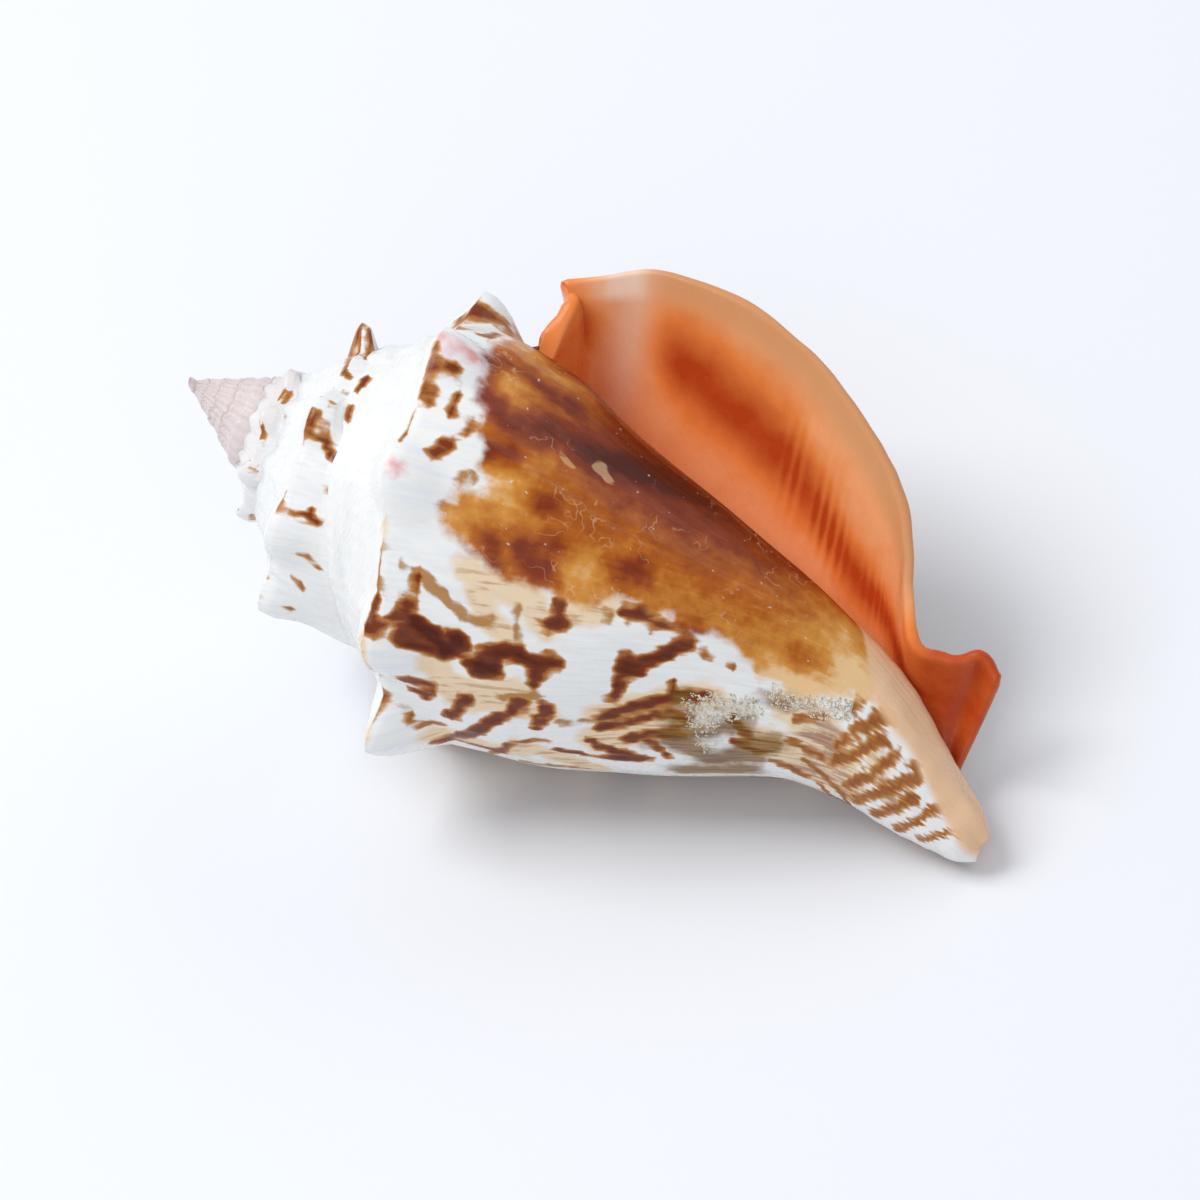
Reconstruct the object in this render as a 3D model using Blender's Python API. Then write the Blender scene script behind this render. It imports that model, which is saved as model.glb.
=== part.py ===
"""A right-handed fighting conch shell with a flared outer lip, lying on its back.

The shell is one wall, worked out in the shell's own frame: the coil axis is Z, the apex is at the
top and the anterior tip at the bottom. The wall is a surface of two numbers. The first, back,
counts whorls from the lip (0) to the apex. The second, across, runs from the suture (0) over the
sloping ramp to the shoulder (1) and down the side to the anterior end (2). All sizes are in
millimetres until the mesh is made.
"""

import math

import bmesh
import bpy
import numpy as np

MM = 0.001
FULL_TURN = 2 * math.pi

# Driving sizes
LENGTH = 88.0
BODY_RADIUS = 18.0
WHORLS = 8
LIP_AZIMUTH = -20.0
STATIONS = 46

# Shoulder line: whorls back from the lip, radius, drop below the apex
SHOULDER = [
    (0.00, 20.5, 33.5), (0.25, 19.6, 34.4), (0.40, 18.8, 34.8), (0.50, 18.2, 34.4), (0.61, 17.8, 30.6),
    (0.74, 17.6, 25.5), (0.86, 17.8, 22.4), (0.98, 18.0, 21.0), (1.25, 15.8, 19.4), (1.50, 13.4, 18.0),
    (1.75, 12.0, 15.4), (2.00, 10.8, 13.6), (2.50, 7.7, 11.4), (3.00, 5.9, 9.2), (4.00, 3.9, 6.6),
    (5.00, 2.7, 4.7), (6.00, 1.8, 3.1), (7.00, 1.05, 1.7), (8.00, 0.35, 0.3),
]
# Suture line: whorls back from the lip, drop below the apex
SUTURE = [
    (0.00, 27.5), (0.25, 28.8), (0.40, 28.8), (0.50, 27.6), (0.56, 25.4), (0.61, 22.9), (0.69, 20.0),
    (0.76, 18.0), (0.82, 16.6), (0.95, 15.2), (1.25, 14.2), (1.50, 13.0), (1.75, 11.5), (2.00, 10.2),
    (2.60, 8.9), (3.00, 7.4), (4.00, 5.0), (5.00, 3.4), (6.00, 2.1), (7.00, 0.9), (8.00, 0.1),
]
# Side outline: share of the way down, radius over shoulder radius a whorl back and by the lip
SIDE = [
    (0.00, 1.000, 1.000), (0.08, 1.050, 0.960), (0.16, 1.030, 0.900), (0.28, 0.930, 0.800),
    (0.40, 0.830, 0.685), (0.52, 0.690, 0.560), (0.64, 0.530, 0.427), (0.72, 0.420, 0.363),
    (0.82, 0.325, 0.290), (0.93, 0.195, 0.185), (0.975, 0.140, 0.140), (1.00, 0.075, 0.075),
]
# Lower end of each whorl's side: whorls back, drop below the apex
SIDE_END = [
    (1.00, 88.0), (1.25, 80.0), (1.50, 70.0), (2.00, 52.0),
    (3.00, 32.0), (4.00, 22.0), (5.00, 15.0), (8.00, 1.5),
]
# Sideways bow of the lower body: height, shift towards BOW_AZIMUTH
BOW = [
    (0, -1.0), (4, 0.0), (9, 1.4), (14, 2.7), (18, 3.3),
    (23, 2.9), (33, 1.4), (42, 0.1), (47, 0.0), (88, 0.0),
]
BOW_AZIMUTH = -30.0

# Lip edge: across, azimuth, radius, height
LIP_EDGE = [
    (0.00, -20.0, 20.0, 60.5), (0.50, -20.0, 25.3, 60.3), (1.00, -20.0, 29.0, 59.0),
    (1.10, -21.0, 31.8, 54.8), (1.20, -23.0, 32.8, 49.2), (1.30, -25.0, 32.7, 43.0),
    (1.40, -26.0, 31.0, 37.0), (1.50, -27.0, 27.8, 31.6), (1.60, -28.0, 24.2, 26.4),
    (1.70, -29.0, 20.3, 22.0), (1.77, -30.0, 16.6, 19.2), (1.83, -31.0, 12.8, 17.0),
    (1.87, -33.0, 10.0, 14.6), (1.91, -33.0, 10.8, 11.8), (1.955, -33.0, 13.3, 9.2),
    (2.00, -31.0, 12.8, 6.4),
]
FLARE_START = 0.30
FLARE_OUT_POWER = [(0.0, 3.0), (1.0, 4.0), (1.5, 4.0), (2.0, 2.5)]
FLARE_DOWN_POWER = [(0.0, 3.0), (1.0, 4.0), (1.6, 3.0), (2.0, 0.3)]

# Spines: whorls back, height, half width along the coil, lean towards the apex in degrees
SPINES = [
    (0.130, 2.2, 5.0, 20), (0.239, 4.0, 5.0, 22), (0.370, 3.6, 5.0, 22),
    (0.500, 4.0, 5.0, 12), (0.605, 2.2, 4.2, 12), (0.741, 2.0, 4.2, 20), (0.864, 2.3, 4.2, 15),
    (0.990, 3.8, 5.4, 5), (1.110, 2.8, 4.0, 30), (1.240, 2.8, 4.0, 30), (1.365, 2.8, 4.0, 30),
    (1.500, 2.2, 4.0, 10), (1.615, 1.6, 3.6, 10), (1.765, 1.6, 3.4, 20), (1.955, 2.6, 3.0, 35),
    (2.100, 1.4, 2.0, 50), (2.230, 1.4, 2.0, 50), (2.360, 1.5, 2.0, 50), (2.480, 1.2, 2.0, 30),
    (2.610, 1.0, 1.6, 45), (2.740, 1.0, 1.6, 45), (2.870, 0.9, 1.6, 45),
]
# How far a body whorl's spine reaches up the ramp and down the side, and the least share of that
SPINE_RAMP_REACH = 3.4
SPINE_SIDE_REACH = 6.0
SPINE_REACH_LEAST = 0.4
RAMP_SAG = 0.05

# Wall and aperture: thicknesses, where they change, and the bulge of an edge as a share of its wall
WALL = 1.8
LIP_WALL = 2.8
LIP_WALL_LENGTH = 0.12
LIP_WALL_ACROSS = (0.6, 1.5)
EDGE_WALL = 1.1
EDGE_WALL_LENGTH = 0.03
ANTERIOR_WALL = 1.0
ANTERIOR_WALL_ACROSS = (1.55, 1.95)
RIM_BULGE = 0.4
RIM_BULGE_ACROSS = 0.6
APERTURE_DEPTH = 0.90
CANAL_SHARE = 0.20
# Lower end of the hollow: whorls back, height
CANAL_FLOOR = [(0.00, 0.0), (0.10, 1.8), (0.20, 4.5), (0.28, 9.0), (0.36, 13.0), (0.50, 19.0), (0.90, 36.0)]
LOW_PULL_ACROSS = (1.85, 2.0)
# Columella: height, radius
COLUMELLA = [(0, 1.0), (5, 1.6), (9, 2.3), (16, 3.0), (30, 3.4), (60, 3.4), (88, 0.5)]
COLUMELLA_START = (1.0, 1.08)

# Mesh rows, closer together towards the anterior end by SIDE_CROWDING
RAMP_ROWS = 4
UPPER_ROWS = 2
RIM_ROWS = 3
SIDE_ROWS = 16
SIDE_CROWDING = 1.25
NORMAL_STEP = 0.004

# Resting pose on two spines and the anterior tip: a turn about the coil axis, then a tip, in degrees
REST_SPIN = 88.0
REST_TIP = -71.5

SHELL_COLOR = (0.62, 0.40, 0.26, 1.0)
SHELL_ROUGHNESS = 0.35


def curve(x, points, column=1):
    """A smooth cubic through the points of one column, level with the end points outside them."""
    xs = np.array([p[0] for p in points], float)
    ys = np.array([p[column] for p in points], float)
    slopes = np.gradient(ys, xs)
    x = np.clip(np.asarray(x, float), xs[0], xs[-1])
    i = np.clip(np.searchsorted(xs, x, side="right") - 1, 0, len(xs) - 2)
    step = xs[i + 1] - xs[i]
    t = (x - xs[i]) / step
    return ((2 * t**3 - 3 * t**2 + 1) * ys[i] + (t**3 - 2 * t**2 + t) * step * slopes[i]
            + (3 * t**2 - 2 * t**3) * ys[i + 1] + (t**3 - t**2) * step * slopes[i + 1])


def ease(low, high, x):
    """0 below low, 1 above high and a smooth step between them."""
    t = np.clip((x - low) / (high - low), 0, 1)
    return t * t * (3 - 2 * t)


def side_radius(back, drop):
    """Radius of a whorl's side: the shoulder radius times the side outline at this drop."""
    shoulder_drop = curve(back, SHOULDER, 2)
    share = (drop - shoulder_drop) / (side_end(back) - shoulder_drop)
    near_lip = ease(0.5, 0.95, back)
    outline = curve(share, SIDE, 1) * near_lip + curve(share, SIDE, 2) * (1 - near_lip)
    return curve(back, SHOULDER, 1) * outline


def side_end(back):
    """Drop of the lower end of a whorl's side."""
    return np.where(back <= 1, LENGTH, curve(back, SIDE_END))


def suture_radius(back):
    """A suture lies on the side of the whorl before it."""
    return side_radius(np.minimum(back + 1, WHORLS), curve(back, SUTURE))


def to_xyz(radius, drop, azimuth):
    """Cylinder coordinates about the coil axis, with the lower body bowed to one side."""
    height = LENGTH - drop
    shift = curve(height, BOW)
    bow = math.radians(BOW_AZIMUTH)
    return np.stack([radius * np.cos(azimuth) + shift * math.cos(bow),
                     radius * np.sin(azimuth) + shift * math.sin(bow),
                     height + 0 * radius], axis=-1)


def spine_push(back, radius, reach):
    """Sum of the spines: each a blunt knob on the shoulder that leans towards the apex.

    reach is the distance from the shoulder along the profile, over the spine's own reach there.
    """
    out = np.zeros(np.broadcast(back, reach).shape)
    up = np.zeros_like(out)
    for place, height, width, lean in SPINES:
        along = (back - place) * FULL_TURN * radius / width
        bump = height * np.clip(1 - along**2 - reach**2, 0, None)**1.5
        out += bump * math.cos(math.radians(lean))
        up += bump * math.sin(math.radians(lean))
    return out, up


def outer(back, across, spines=1.0):
    """The outside of the shell at back whorls from the lip and at across on the profile.

    The ramp is a sagging line from suture to shoulder and the side follows its outline. Spines
    push the shoulder out. Near the lip the surface leaves the coil and flares to the lip edge.
    """
    back, across = np.broadcast_arrays(np.asarray(back, float), np.asarray(across, float))
    shoulder_r = curve(back, SHOULDER, 1)
    shoulder_d = curve(back, SHOULDER, 2)
    suture_r = suture_radius(back)
    suture_d = curve(back, SUTURE)
    ramp = np.clip(across, 0, 1)
    down = np.clip(across - 1, 0, 1)
    ramp_long = np.hypot(shoulder_r - suture_r, shoulder_d - suture_d)
    sag = RAMP_SAG * ramp_long * 4 * ramp * (1 - ramp)
    ramp_r = suture_r + (shoulder_r - suture_r) * ramp - sag
    ramp_d = suture_d + (shoulder_d - suture_d) * ramp
    side_d = shoulder_d + (side_end(back) - shoulder_d) * down
    on_side = across > 1
    radius = np.where(on_side, side_radius(back, side_d), ramp_r)
    drop = np.where(on_side, side_d, ramp_d)
    reach = np.where(on_side, (side_d - shoulder_d) / SPINE_SIDE_REACH,
                     ramp_long * (1 - ramp) / SPINE_RAMP_REACH)
    size = np.clip(shoulder_r / BODY_RADIUS, SPINE_REACH_LEAST, 1)
    out, up = spine_push(back, shoulder_r, reach / size)
    radius = radius + out * spines
    drop = drop - up * spines
    azimuth = math.radians(LIP_AZIMUTH) + FULL_TURN * back

    t = np.clip((FLARE_START - back) / FLARE_START, 0, None)
    flare_out = t**curve(across, FLARE_OUT_POWER)
    flare_down = t**curve(across, FLARE_DOWN_POWER)
    edge_r = curve(across, LIP_EDGE, 2)
    edge_d = LENGTH - curve(across, LIP_EDGE, 3)
    edge_azimuth = np.radians(curve(across, LIP_EDGE, 1) - LIP_AZIMUTH)
    start_d = np.where(on_side, curve(0, SHOULDER, 2) + (LENGTH - curve(0, SHOULDER, 2)) * down,
                       curve(0, SUTURE) + (curve(0, SHOULDER, 2) - curve(0, SUTURE)) * ramp)
    start_r = np.where(on_side, side_radius(0.0, start_d),
                       suture_radius(0.0) + (curve(0, SHOULDER, 1) - suture_radius(0.0)) * ramp)
    radius = radius + (edge_r - start_r) * flare_out
    drop = drop + (edge_d - start_d) * flare_down
    azimuth = azimuth + edge_azimuth * t**3
    return to_xyz(radius, drop, azimuth)


def outward(back, across):
    """Unit normal of the outside without its spines, from small steps along both parameters."""
    along = outer(back + NORMAL_STEP, across, 0) - outer(back - NORMAL_STEP, across, 0)
    low = np.clip(across - NORMAL_STEP, 0, 2)
    high = np.clip(across + NORMAL_STEP, 0, 2)
    down = outer(back, high, 0) - outer(back, low, 0)
    normal = np.cross(along, down)
    normal /= np.linalg.norm(normal, axis=-1, keepdims=True)
    return -normal


def wall(back, across):
    """Wall thickness: thicker at the lip, rounded off to its edge, thinner at the anterior end."""
    thick = WALL + (LIP_WALL - WALL) * (1 - ease(0.0, LIP_WALL_LENGTH, back)) * ease(*LIP_WALL_ACROSS, across)
    thick = thick + (ANTERIOR_WALL - thick) * ease(*ANTERIOR_WALL_ACROSS, across)
    edge = np.minimum(thick, EDGE_WALL)
    t = np.clip(back / EDGE_WALL_LENGTH, 0, 1)
    return edge + (thick - edge) * np.sqrt(t * (2 - t))


def canal_floor(back):
    """Height of the lower end of the aperture's hollow."""
    return curve(back, CANAL_FLOOR)


def inner_wall(back, share):
    """The side of the whorl before, seen inside the aperture: parietal wall, then columella.

    share runs from just under the suture to the lower end of the hollow.
    """
    top = LENGTH - curve(back - 1, SUTURE) - WALL
    low = canal_floor(back - 1)
    height = top + (low - top) * share
    rod = curve(height, COLUMELLA) * ease(*COLUMELLA_START, back)
    body = side_radius(back, LENGTH - height)
    radius = (body**4 + rod**4)**0.25
    return to_xyz(radius, LENGTH - height, math.radians(LIP_AZIMUTH) + FULL_TURN * back)


def grid_faces(ids):
    """Quads of a grid of vertex numbers."""
    quads = np.stack([ids[:-1, :-1], ids[1:, :-1], ids[1:, 1:], ids[:-1, 1:]], axis=-1)
    return quads.reshape(-1, 4).tolist()


def shell_mesh():
    """All the sheets of the wall, sewn along the sutures, the rim and the two closed ends."""
    points = []

    def add(positions):
        """Stores positions and gives back their vertex numbers."""
        flat = np.asarray(positions, float).reshape(-1, 3)
        first = sum(len(p) for p in points)
        points.append(flat)
        return (first + np.arange(len(flat))).reshape(np.shape(positions)[:-1])

    n = STATIONS
    split = RAMP_ROWS + UPPER_ROWS
    foot = split + RIM_ROWS
    last = foot + SIDE_ROWS
    deep = round(APERTURE_DEPTH * n)
    canal = round(CANAL_SHARE * n)

    # Rows of the body whorl, and where the suture and the lip's foot meet it one whorl back
    shoulder_one = float(curve(1, SHOULDER, 2))
    side_long = LENGTH - shoulder_one
    split_share = (float(curve(0, SUTURE)) - shoulder_one) / side_long
    foot_share = split_share + WALL / side_long
    across = np.concatenate([
        np.linspace(0, 1, RAMP_ROWS + 1),
        1 + np.linspace(0, split_share, UPPER_ROWS + 1)[1:],
        1 + np.linspace(split_share, foot_share, RIM_ROWS + 1)[1:],
        1 + foot_share + (1 - foot_share) * (1 - np.linspace(1, 0, SIDE_ROWS + 1)[1:]**SIDE_CROWDING),
    ])

    # Outside of the body whorl
    body_back = np.arange(n + 1) / n
    body_points = outer(body_back[:, None], across[None, :])
    body = add(body_points)
    body[n, split] = body[0, 0]

    # Outside of the spire: each whorl shows from its suture down to the next
    spire_back = np.arange(n, WHORLS * n + 1) / n
    shown = ((curve(spire_back - 1, SUTURE) - curve(spire_back, SHOULDER, 2))
             / (side_end(spire_back) - curve(spire_back, SHOULDER, 2)))
    spire_across = np.concatenate([
        np.tile(np.linspace(0, 1, RAMP_ROWS + 1), (len(spire_back), 1)),
        1 + shown[:, None] * np.linspace(0, 1, UPPER_ROWS + 1)[1:],
    ], axis=1)
    spire = add(outer(spire_back[:, None], spire_across))
    spire[0] = body[n, :split + 1]
    spire[:n + 1, split] = body[:, 0]
    spire[n:, split] = spire[:-n, 0]

    # Columella side of the aperture
    core_back = 1 + np.arange(deep + 1) / n
    core = add(inner_wall(core_back[:, None], np.linspace(0, 1, SIDE_ROWS + 1)[None, :]))
    core[0] = body[n, foot:]

    # Inside of the outer wall
    lining_back = core_back - 1
    floor_share = 1 - canal_floor(lining_back) / (LENGTH - curve(lining_back, SHOULDER, 2))
    floor_share = np.where(lining_back <= CANAL_SHARE, 1, floor_share)
    shrunk = 1 + (across[None, :] - 1) * floor_share[:, None]
    lining_across = np.where(across[None, :] > 1, shrunk, across[None, :])
    back_grid = np.broadcast_to(lining_back[:, None], lining_across.shape)
    lining_points = (outer(back_grid, lining_across, 0)
                     - outward(back_grid, lining_across) * wall(back_grid, lining_across)[..., None])
    core_points = np.concatenate(points)[core]
    top_pull = np.clip(1 - across, 0, 1)**2
    low_pull = ease(*LOW_PULL_ACROSS, across)[None, :] * (lining_back >= CANAL_SHARE)[:, None]
    top_gap = core_points[:, :1] - lining_points[:, :1]
    low_gap = core_points[:, -1:] - lining_points[:, -1:]
    lining_points = lining_points + top_gap * top_pull[None, :, None] + low_gap * low_pull[..., None]
    lining = add(lining_points)
    lining[:, 0] = core[:, 0]
    lining[canal:, last] = core[canal:, -1]

    # Rim of the lip and of the anterior margin, rounded over the wall's thickness
    angle = np.linspace(0, math.pi, RIM_ROWS + 1)

    def rim(outside, inside, ahead):
        """Half-round strip between two edges, bulging towards ahead."""
        middle = (outside + inside) / 2
        half = (outside - inside) / 2
        ahead = ahead * np.linalg.norm(outside - inside, axis=-1, keepdims=True)
        return (middle[:, None] + half[:, None] * np.cos(angle)[None, :, None]
                + (ahead * RIM_BULGE)[:, None] * np.sin(angle)[None, :, None])

    def unit(v):
        """Vectors scaled to length one."""
        return v / np.linalg.norm(v, axis=-1, keepdims=True)

    lip_ahead = unit(body_points[0] - body_points[1])
    lip_ahead *= ease(0, RIM_BULGE_ACROSS, across)[:, None]
    lip_rim = add(rim(body_points[0], lining_points[0], lip_ahead))
    lip_rim[:, 0] = body[0]
    lip_rim[:, -1] = lining[0]
    lip_rim[0] = body[n, split:foot + 1]

    margin_out = body_points[:canal + 1, -1]
    margin_in = lining_points[:canal + 1, -1]
    margin_ahead = unit(body_points[:canal + 1, -1] - body_points[:canal + 1, -2])
    margin = add(rim(margin_out, margin_in, margin_ahead))
    margin[:, 0] = body[:canal + 1, last]
    margin[:, -1] = lining[:canal + 1, last]
    margin[0] = lip_rim[-1]

    faces = []
    for ids in (body, spire, core, lining, lip_rim, margin):
        faces += grid_faces(ids)

    def close(loop):
        """A fan from a loop of vertices to their middle."""
        centre = int(add(np.concatenate(points)[loop].mean(axis=0)[None])[0])
        for a, b in zip(loop, loop[1:] + loop[:1]):
            faces.append([a, b, centre])

    close(body[canal:, last].tolist() + core[1:canal + 1, -1].tolist() + margin[canal, -2:0:-1].tolist())
    close(lining[deep, :].tolist() + core[deep, -2:0:-1].tolist())
    close(spire[-n - 1:, 0].tolist() + spire[-1, 1:-1].tolist())
    return np.concatenate(points), faces


def turn(axis, degrees):
    """Rotation matrix about Y or Z."""
    c, s = math.cos(math.radians(degrees)), math.sin(math.radians(degrees))
    return np.array({
        "Y": [[c, 0, s], [0, 1, 0], [-s, 0, c]],
        "Z": [[c, -s, 0], [s, c, 0], [0, 0, 1]],
    }[axis])


def rest(points):
    """The shell turned to its resting pose, with the middle of its box's floor at the origin."""
    points = points @ (turn("Y", REST_TIP) @ turn("Z", REST_SPIN)).T
    low, high = points.min(axis=0), points.max(axis=0)
    return points - np.array([(low[0] + high[0]) / 2, (low[1] + high[1]) / 2, low[2]])


def shell_material():
    """Glossy tan shell."""
    material = bpy.data.materials.new("shell")
    material.use_nodes = True
    shader = material.node_tree.nodes["Principled BSDF"]
    shader.inputs["Base Color"].default_value = SHELL_COLOR
    shader.inputs["Roughness"].default_value = SHELL_ROUGHNESS
    shader.inputs["Metallic"].default_value = 0.0
    return material


def main():
    """Makes the shell as one object."""
    for thing in list(bpy.data.objects):
        bpy.data.objects.remove(thing)
    points, faces = shell_mesh()
    used = np.unique(np.concatenate([np.ravel(f) for f in faces]))
    renumber = np.zeros(len(points), int)
    renumber[used] = np.arange(len(used))
    faces = [renumber[f].tolist() for f in faces]
    mesh = bpy.data.meshes.new("conch_shell")
    mesh.from_pydata((rest(points[used]) * MM).tolist(), [], faces)
    sewn = bmesh.new()
    sewn.from_mesh(mesh)
    bmesh.ops.recalc_face_normals(sewn, faces=sewn.faces)
    sewn.to_mesh(mesh)
    sewn.free()
    mesh.materials.append(shell_material())
    mesh.shade_smooth()
    shell = bpy.data.objects.new("conch_shell", mesh)
    bpy.context.scene.collection.objects.link(shell)


main()
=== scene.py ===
"""A right-handed fighting conch shell, 88 mm long, lying on its back with the aperture side up."""

import math

import bpy
import numpy as np
from mathutils import Matrix, Vector
from mathutils.bvhtree import BVHTree


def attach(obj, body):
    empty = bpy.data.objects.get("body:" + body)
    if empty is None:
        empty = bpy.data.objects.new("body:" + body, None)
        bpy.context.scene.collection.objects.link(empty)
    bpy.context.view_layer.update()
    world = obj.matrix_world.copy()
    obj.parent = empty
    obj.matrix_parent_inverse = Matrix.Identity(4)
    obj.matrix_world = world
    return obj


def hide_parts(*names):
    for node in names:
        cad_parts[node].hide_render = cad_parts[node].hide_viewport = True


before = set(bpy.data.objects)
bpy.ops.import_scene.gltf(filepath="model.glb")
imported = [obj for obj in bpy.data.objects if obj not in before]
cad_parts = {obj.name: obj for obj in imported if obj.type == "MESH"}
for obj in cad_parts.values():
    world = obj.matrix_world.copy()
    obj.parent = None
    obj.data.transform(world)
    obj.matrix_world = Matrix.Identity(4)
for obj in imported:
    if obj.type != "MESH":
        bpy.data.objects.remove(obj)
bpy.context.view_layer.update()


# The camera stands 450 mm from the middle of the shell, square to the coil axis but for a small
# tilt, and is rolled so that the apex points to the upper left of the picture. The shell lies still:
# it is turned about its coil axis, tipped, and shifted to the middle of the floor.
MM = 0.001
# Angles in degrees, and lengths in mm in the shell's own frame, with the apex up
REST_SPIN = 88.0
REST_TIP = -71.5
REST_SHIFT = (41.53, -4.56, 2.50)
VIEW_AZIMUTH = -120.0
VIEW_TILT = -8.0
VIEW_ROLL = 60.2
VIEW_DISTANCE = 450.0
VIEW_CENTRE = (0.0, 0.0, 44.0)
PIXELS_PER_MM = 10.6
PICTURE_SIZE = 1200
CENTRE_PIXEL = (582, 606)
SENSOR = 36.0


def turn(axis, degrees):
    """Rotation matrix about X, Y or Z."""
    c, s = math.cos(math.radians(degrees)), math.sin(math.radians(degrees))
    return np.array({
        "X": [[1, 0, 0], [0, c, -s], [0, s, c]],
        "Y": [[c, 0, s], [0, 1, 0], [-s, 0, c]],
        "Z": [[c, -s, 0], [s, c, 0], [0, 0, 1]],
    }[axis])


def new_object(name, data):
    """An object with these data, in the scene."""
    made = bpy.data.objects.new(name, data)
    bpy.context.scene.collection.objects.link(made)
    return made


rest_turn = turn("Y", REST_TIP) @ turn("Z", REST_SPIN)


def rest(points):
    """Points of the shell's own frame in the resting pose, in metres."""
    return (points @ rest_turn.T + np.array(REST_SHIFT)) * MM


toward = np.array([math.cos(math.radians(VIEW_AZIMUTH)), math.sin(math.radians(VIEW_AZIMUTH)), 0.0])
upward = np.array([0.0, 0.0, 1.0])
view_axes = turn("Z", VIEW_ROLL) @ turn("X", VIEW_TILT) @ np.stack([np.cross(upward, toward), upward, toward])
camera_spot = np.array(VIEW_CENTRE) + view_axes.T @ np.array([0, 0, VIEW_DISTANCE])
camera_place = rest(camera_spot)
camera_data = bpy.data.cameras.new("camera")
camera_data.sensor_width = SENSOR
camera_data.lens = PIXELS_PER_MM * VIEW_DISTANCE / PICTURE_SIZE * SENSOR
camera_data.shift_x = (PICTURE_SIZE / 2 - CENTRE_PIXEL[0]) / PICTURE_SIZE
camera_data.shift_y = (CENTRE_PIXEL[1] - PICTURE_SIZE / 2) / PICTURE_SIZE
camera = new_object("camera", camera_data)
camera_turn = Matrix((rest_turn @ view_axes.T).tolist()).to_4x4()
camera.matrix_world = Matrix.Translation(camera_place.tolist()) @ camera_turn
bpy.context.scene.camera = camera


# The shell wall. One sheet of aragonite, coiled eight times round its axis and grown at the lip, so
# everything on it is a place (back, across): whorls back from the lip, and the way across a whorl
# from its suture (0) over the ramp to the shoulder (1) and down the side to the anterior end (2).
FULL_TURN = 2 * math.pi
LENGTH = 88.0
BODY_RADIUS = 18.0
WHORLS = 8
LIP_AZIMUTH = -20.0

# Shoulder line: whorls back from the lip, radius, drop below the apex
SHOULDER = [
    (0.00, 20.5, 33.5), (0.25, 19.6, 34.4), (0.40, 18.8, 34.8), (0.50, 18.2, 34.4), (0.61, 17.8, 30.6),
    (0.74, 17.6, 25.5), (0.86, 17.8, 22.4), (0.98, 18.0, 21.0), (1.25, 15.8, 19.4), (1.50, 13.4, 18.0),
    (1.75, 12.0, 15.4), (2.00, 10.8, 13.6), (2.50, 7.7, 11.4), (3.00, 5.9, 9.2), (4.00, 3.9, 6.6),
    (5.00, 2.7, 4.7), (6.00, 1.8, 3.1), (7.00, 1.05, 1.7), (8.00, 0.35, 0.3),
]
# Suture line: whorls back from the lip, drop below the apex
SUTURE = [
    (0.00, 27.5), (0.25, 28.8), (0.40, 28.8), (0.50, 27.6), (0.56, 25.4), (0.61, 22.9), (0.69, 20.0),
    (0.76, 18.0), (0.82, 16.6), (0.95, 15.2), (1.25, 14.2), (1.50, 13.0), (1.75, 11.5), (2.00, 10.2),
    (2.60, 8.9), (3.00, 7.4), (4.00, 5.0), (5.00, 3.4), (6.00, 2.1), (7.00, 0.9), (8.00, 0.1),
]
# Side outline: share of the way down, radius over shoulder radius a whorl back and by the lip
SIDE = [
    (0.00, 1.000, 1.000), (0.08, 1.050, 0.960), (0.16, 1.030, 0.900), (0.28, 0.930, 0.800),
    (0.40, 0.830, 0.685), (0.52, 0.690, 0.560), (0.64, 0.530, 0.427), (0.72, 0.420, 0.363),
    (0.82, 0.325, 0.290), (0.93, 0.195, 0.185), (0.975, 0.140, 0.140), (1.00, 0.075, 0.075),
]
# Lower end of each whorl's side: whorls back, drop below the apex
SIDE_END = [
    (1.00, 88.0), (1.25, 80.0), (1.50, 70.0), (2.00, 52.0),
    (3.00, 32.0), (4.00, 22.0), (5.00, 15.0), (8.00, 1.5),
]
# Sideways bow of the lower body: height, shift towards BOW_AZIMUTH
BOW = [
    (0, -1.0), (4, 0.0), (9, 1.4), (14, 2.7), (18, 3.3),
    (23, 2.9), (33, 1.4), (42, 0.1), (47, 0.0), (88, 0.0),
]
BOW_AZIMUTH = -30.0
# Whorls back over which the side outline by the lip gives way to the one behind it
NEAR_LIP = (0.5, 0.95)
# Lip edge: across, azimuth, radius, height
LIP_EDGE = [
    (0.00, -20.0, 20.0, 60.5), (0.50, -20.0, 25.3, 60.3), (1.00, -20.0, 29.0, 59.0),
    (1.10, -21.0, 31.8, 54.8), (1.20, -23.0, 32.8, 49.2), (1.30, -25.0, 32.7, 43.0),
    (1.40, -26.0, 31.0, 37.0), (1.50, -27.0, 27.8, 31.6), (1.60, -28.0, 24.2, 26.4),
    (1.70, -29.0, 20.3, 22.0), (1.77, -30.0, 16.6, 19.2), (1.83, -31.0, 12.8, 17.0),
    (1.87, -33.0, 10.0, 14.6), (1.91, -33.0, 10.8, 11.8), (1.955, -33.0, 13.3, 9.2),
    (2.00, -31.0, 12.8, 6.4),
]
# The flare: whorls back where it starts, and powers of the way to the edge, by across
FLARE_START = 0.30
FLARE_TURN_POWER = 3
FLARE_OUT_POWER = [(0.0, 3.0), (1.0, 4.0), (1.5, 4.0), (2.0, 2.5)]
FLARE_DOWN_POWER = [(0.0, 3.0), (1.0, 4.0), (1.6, 3.0), (2.0, 0.3)]
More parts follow.
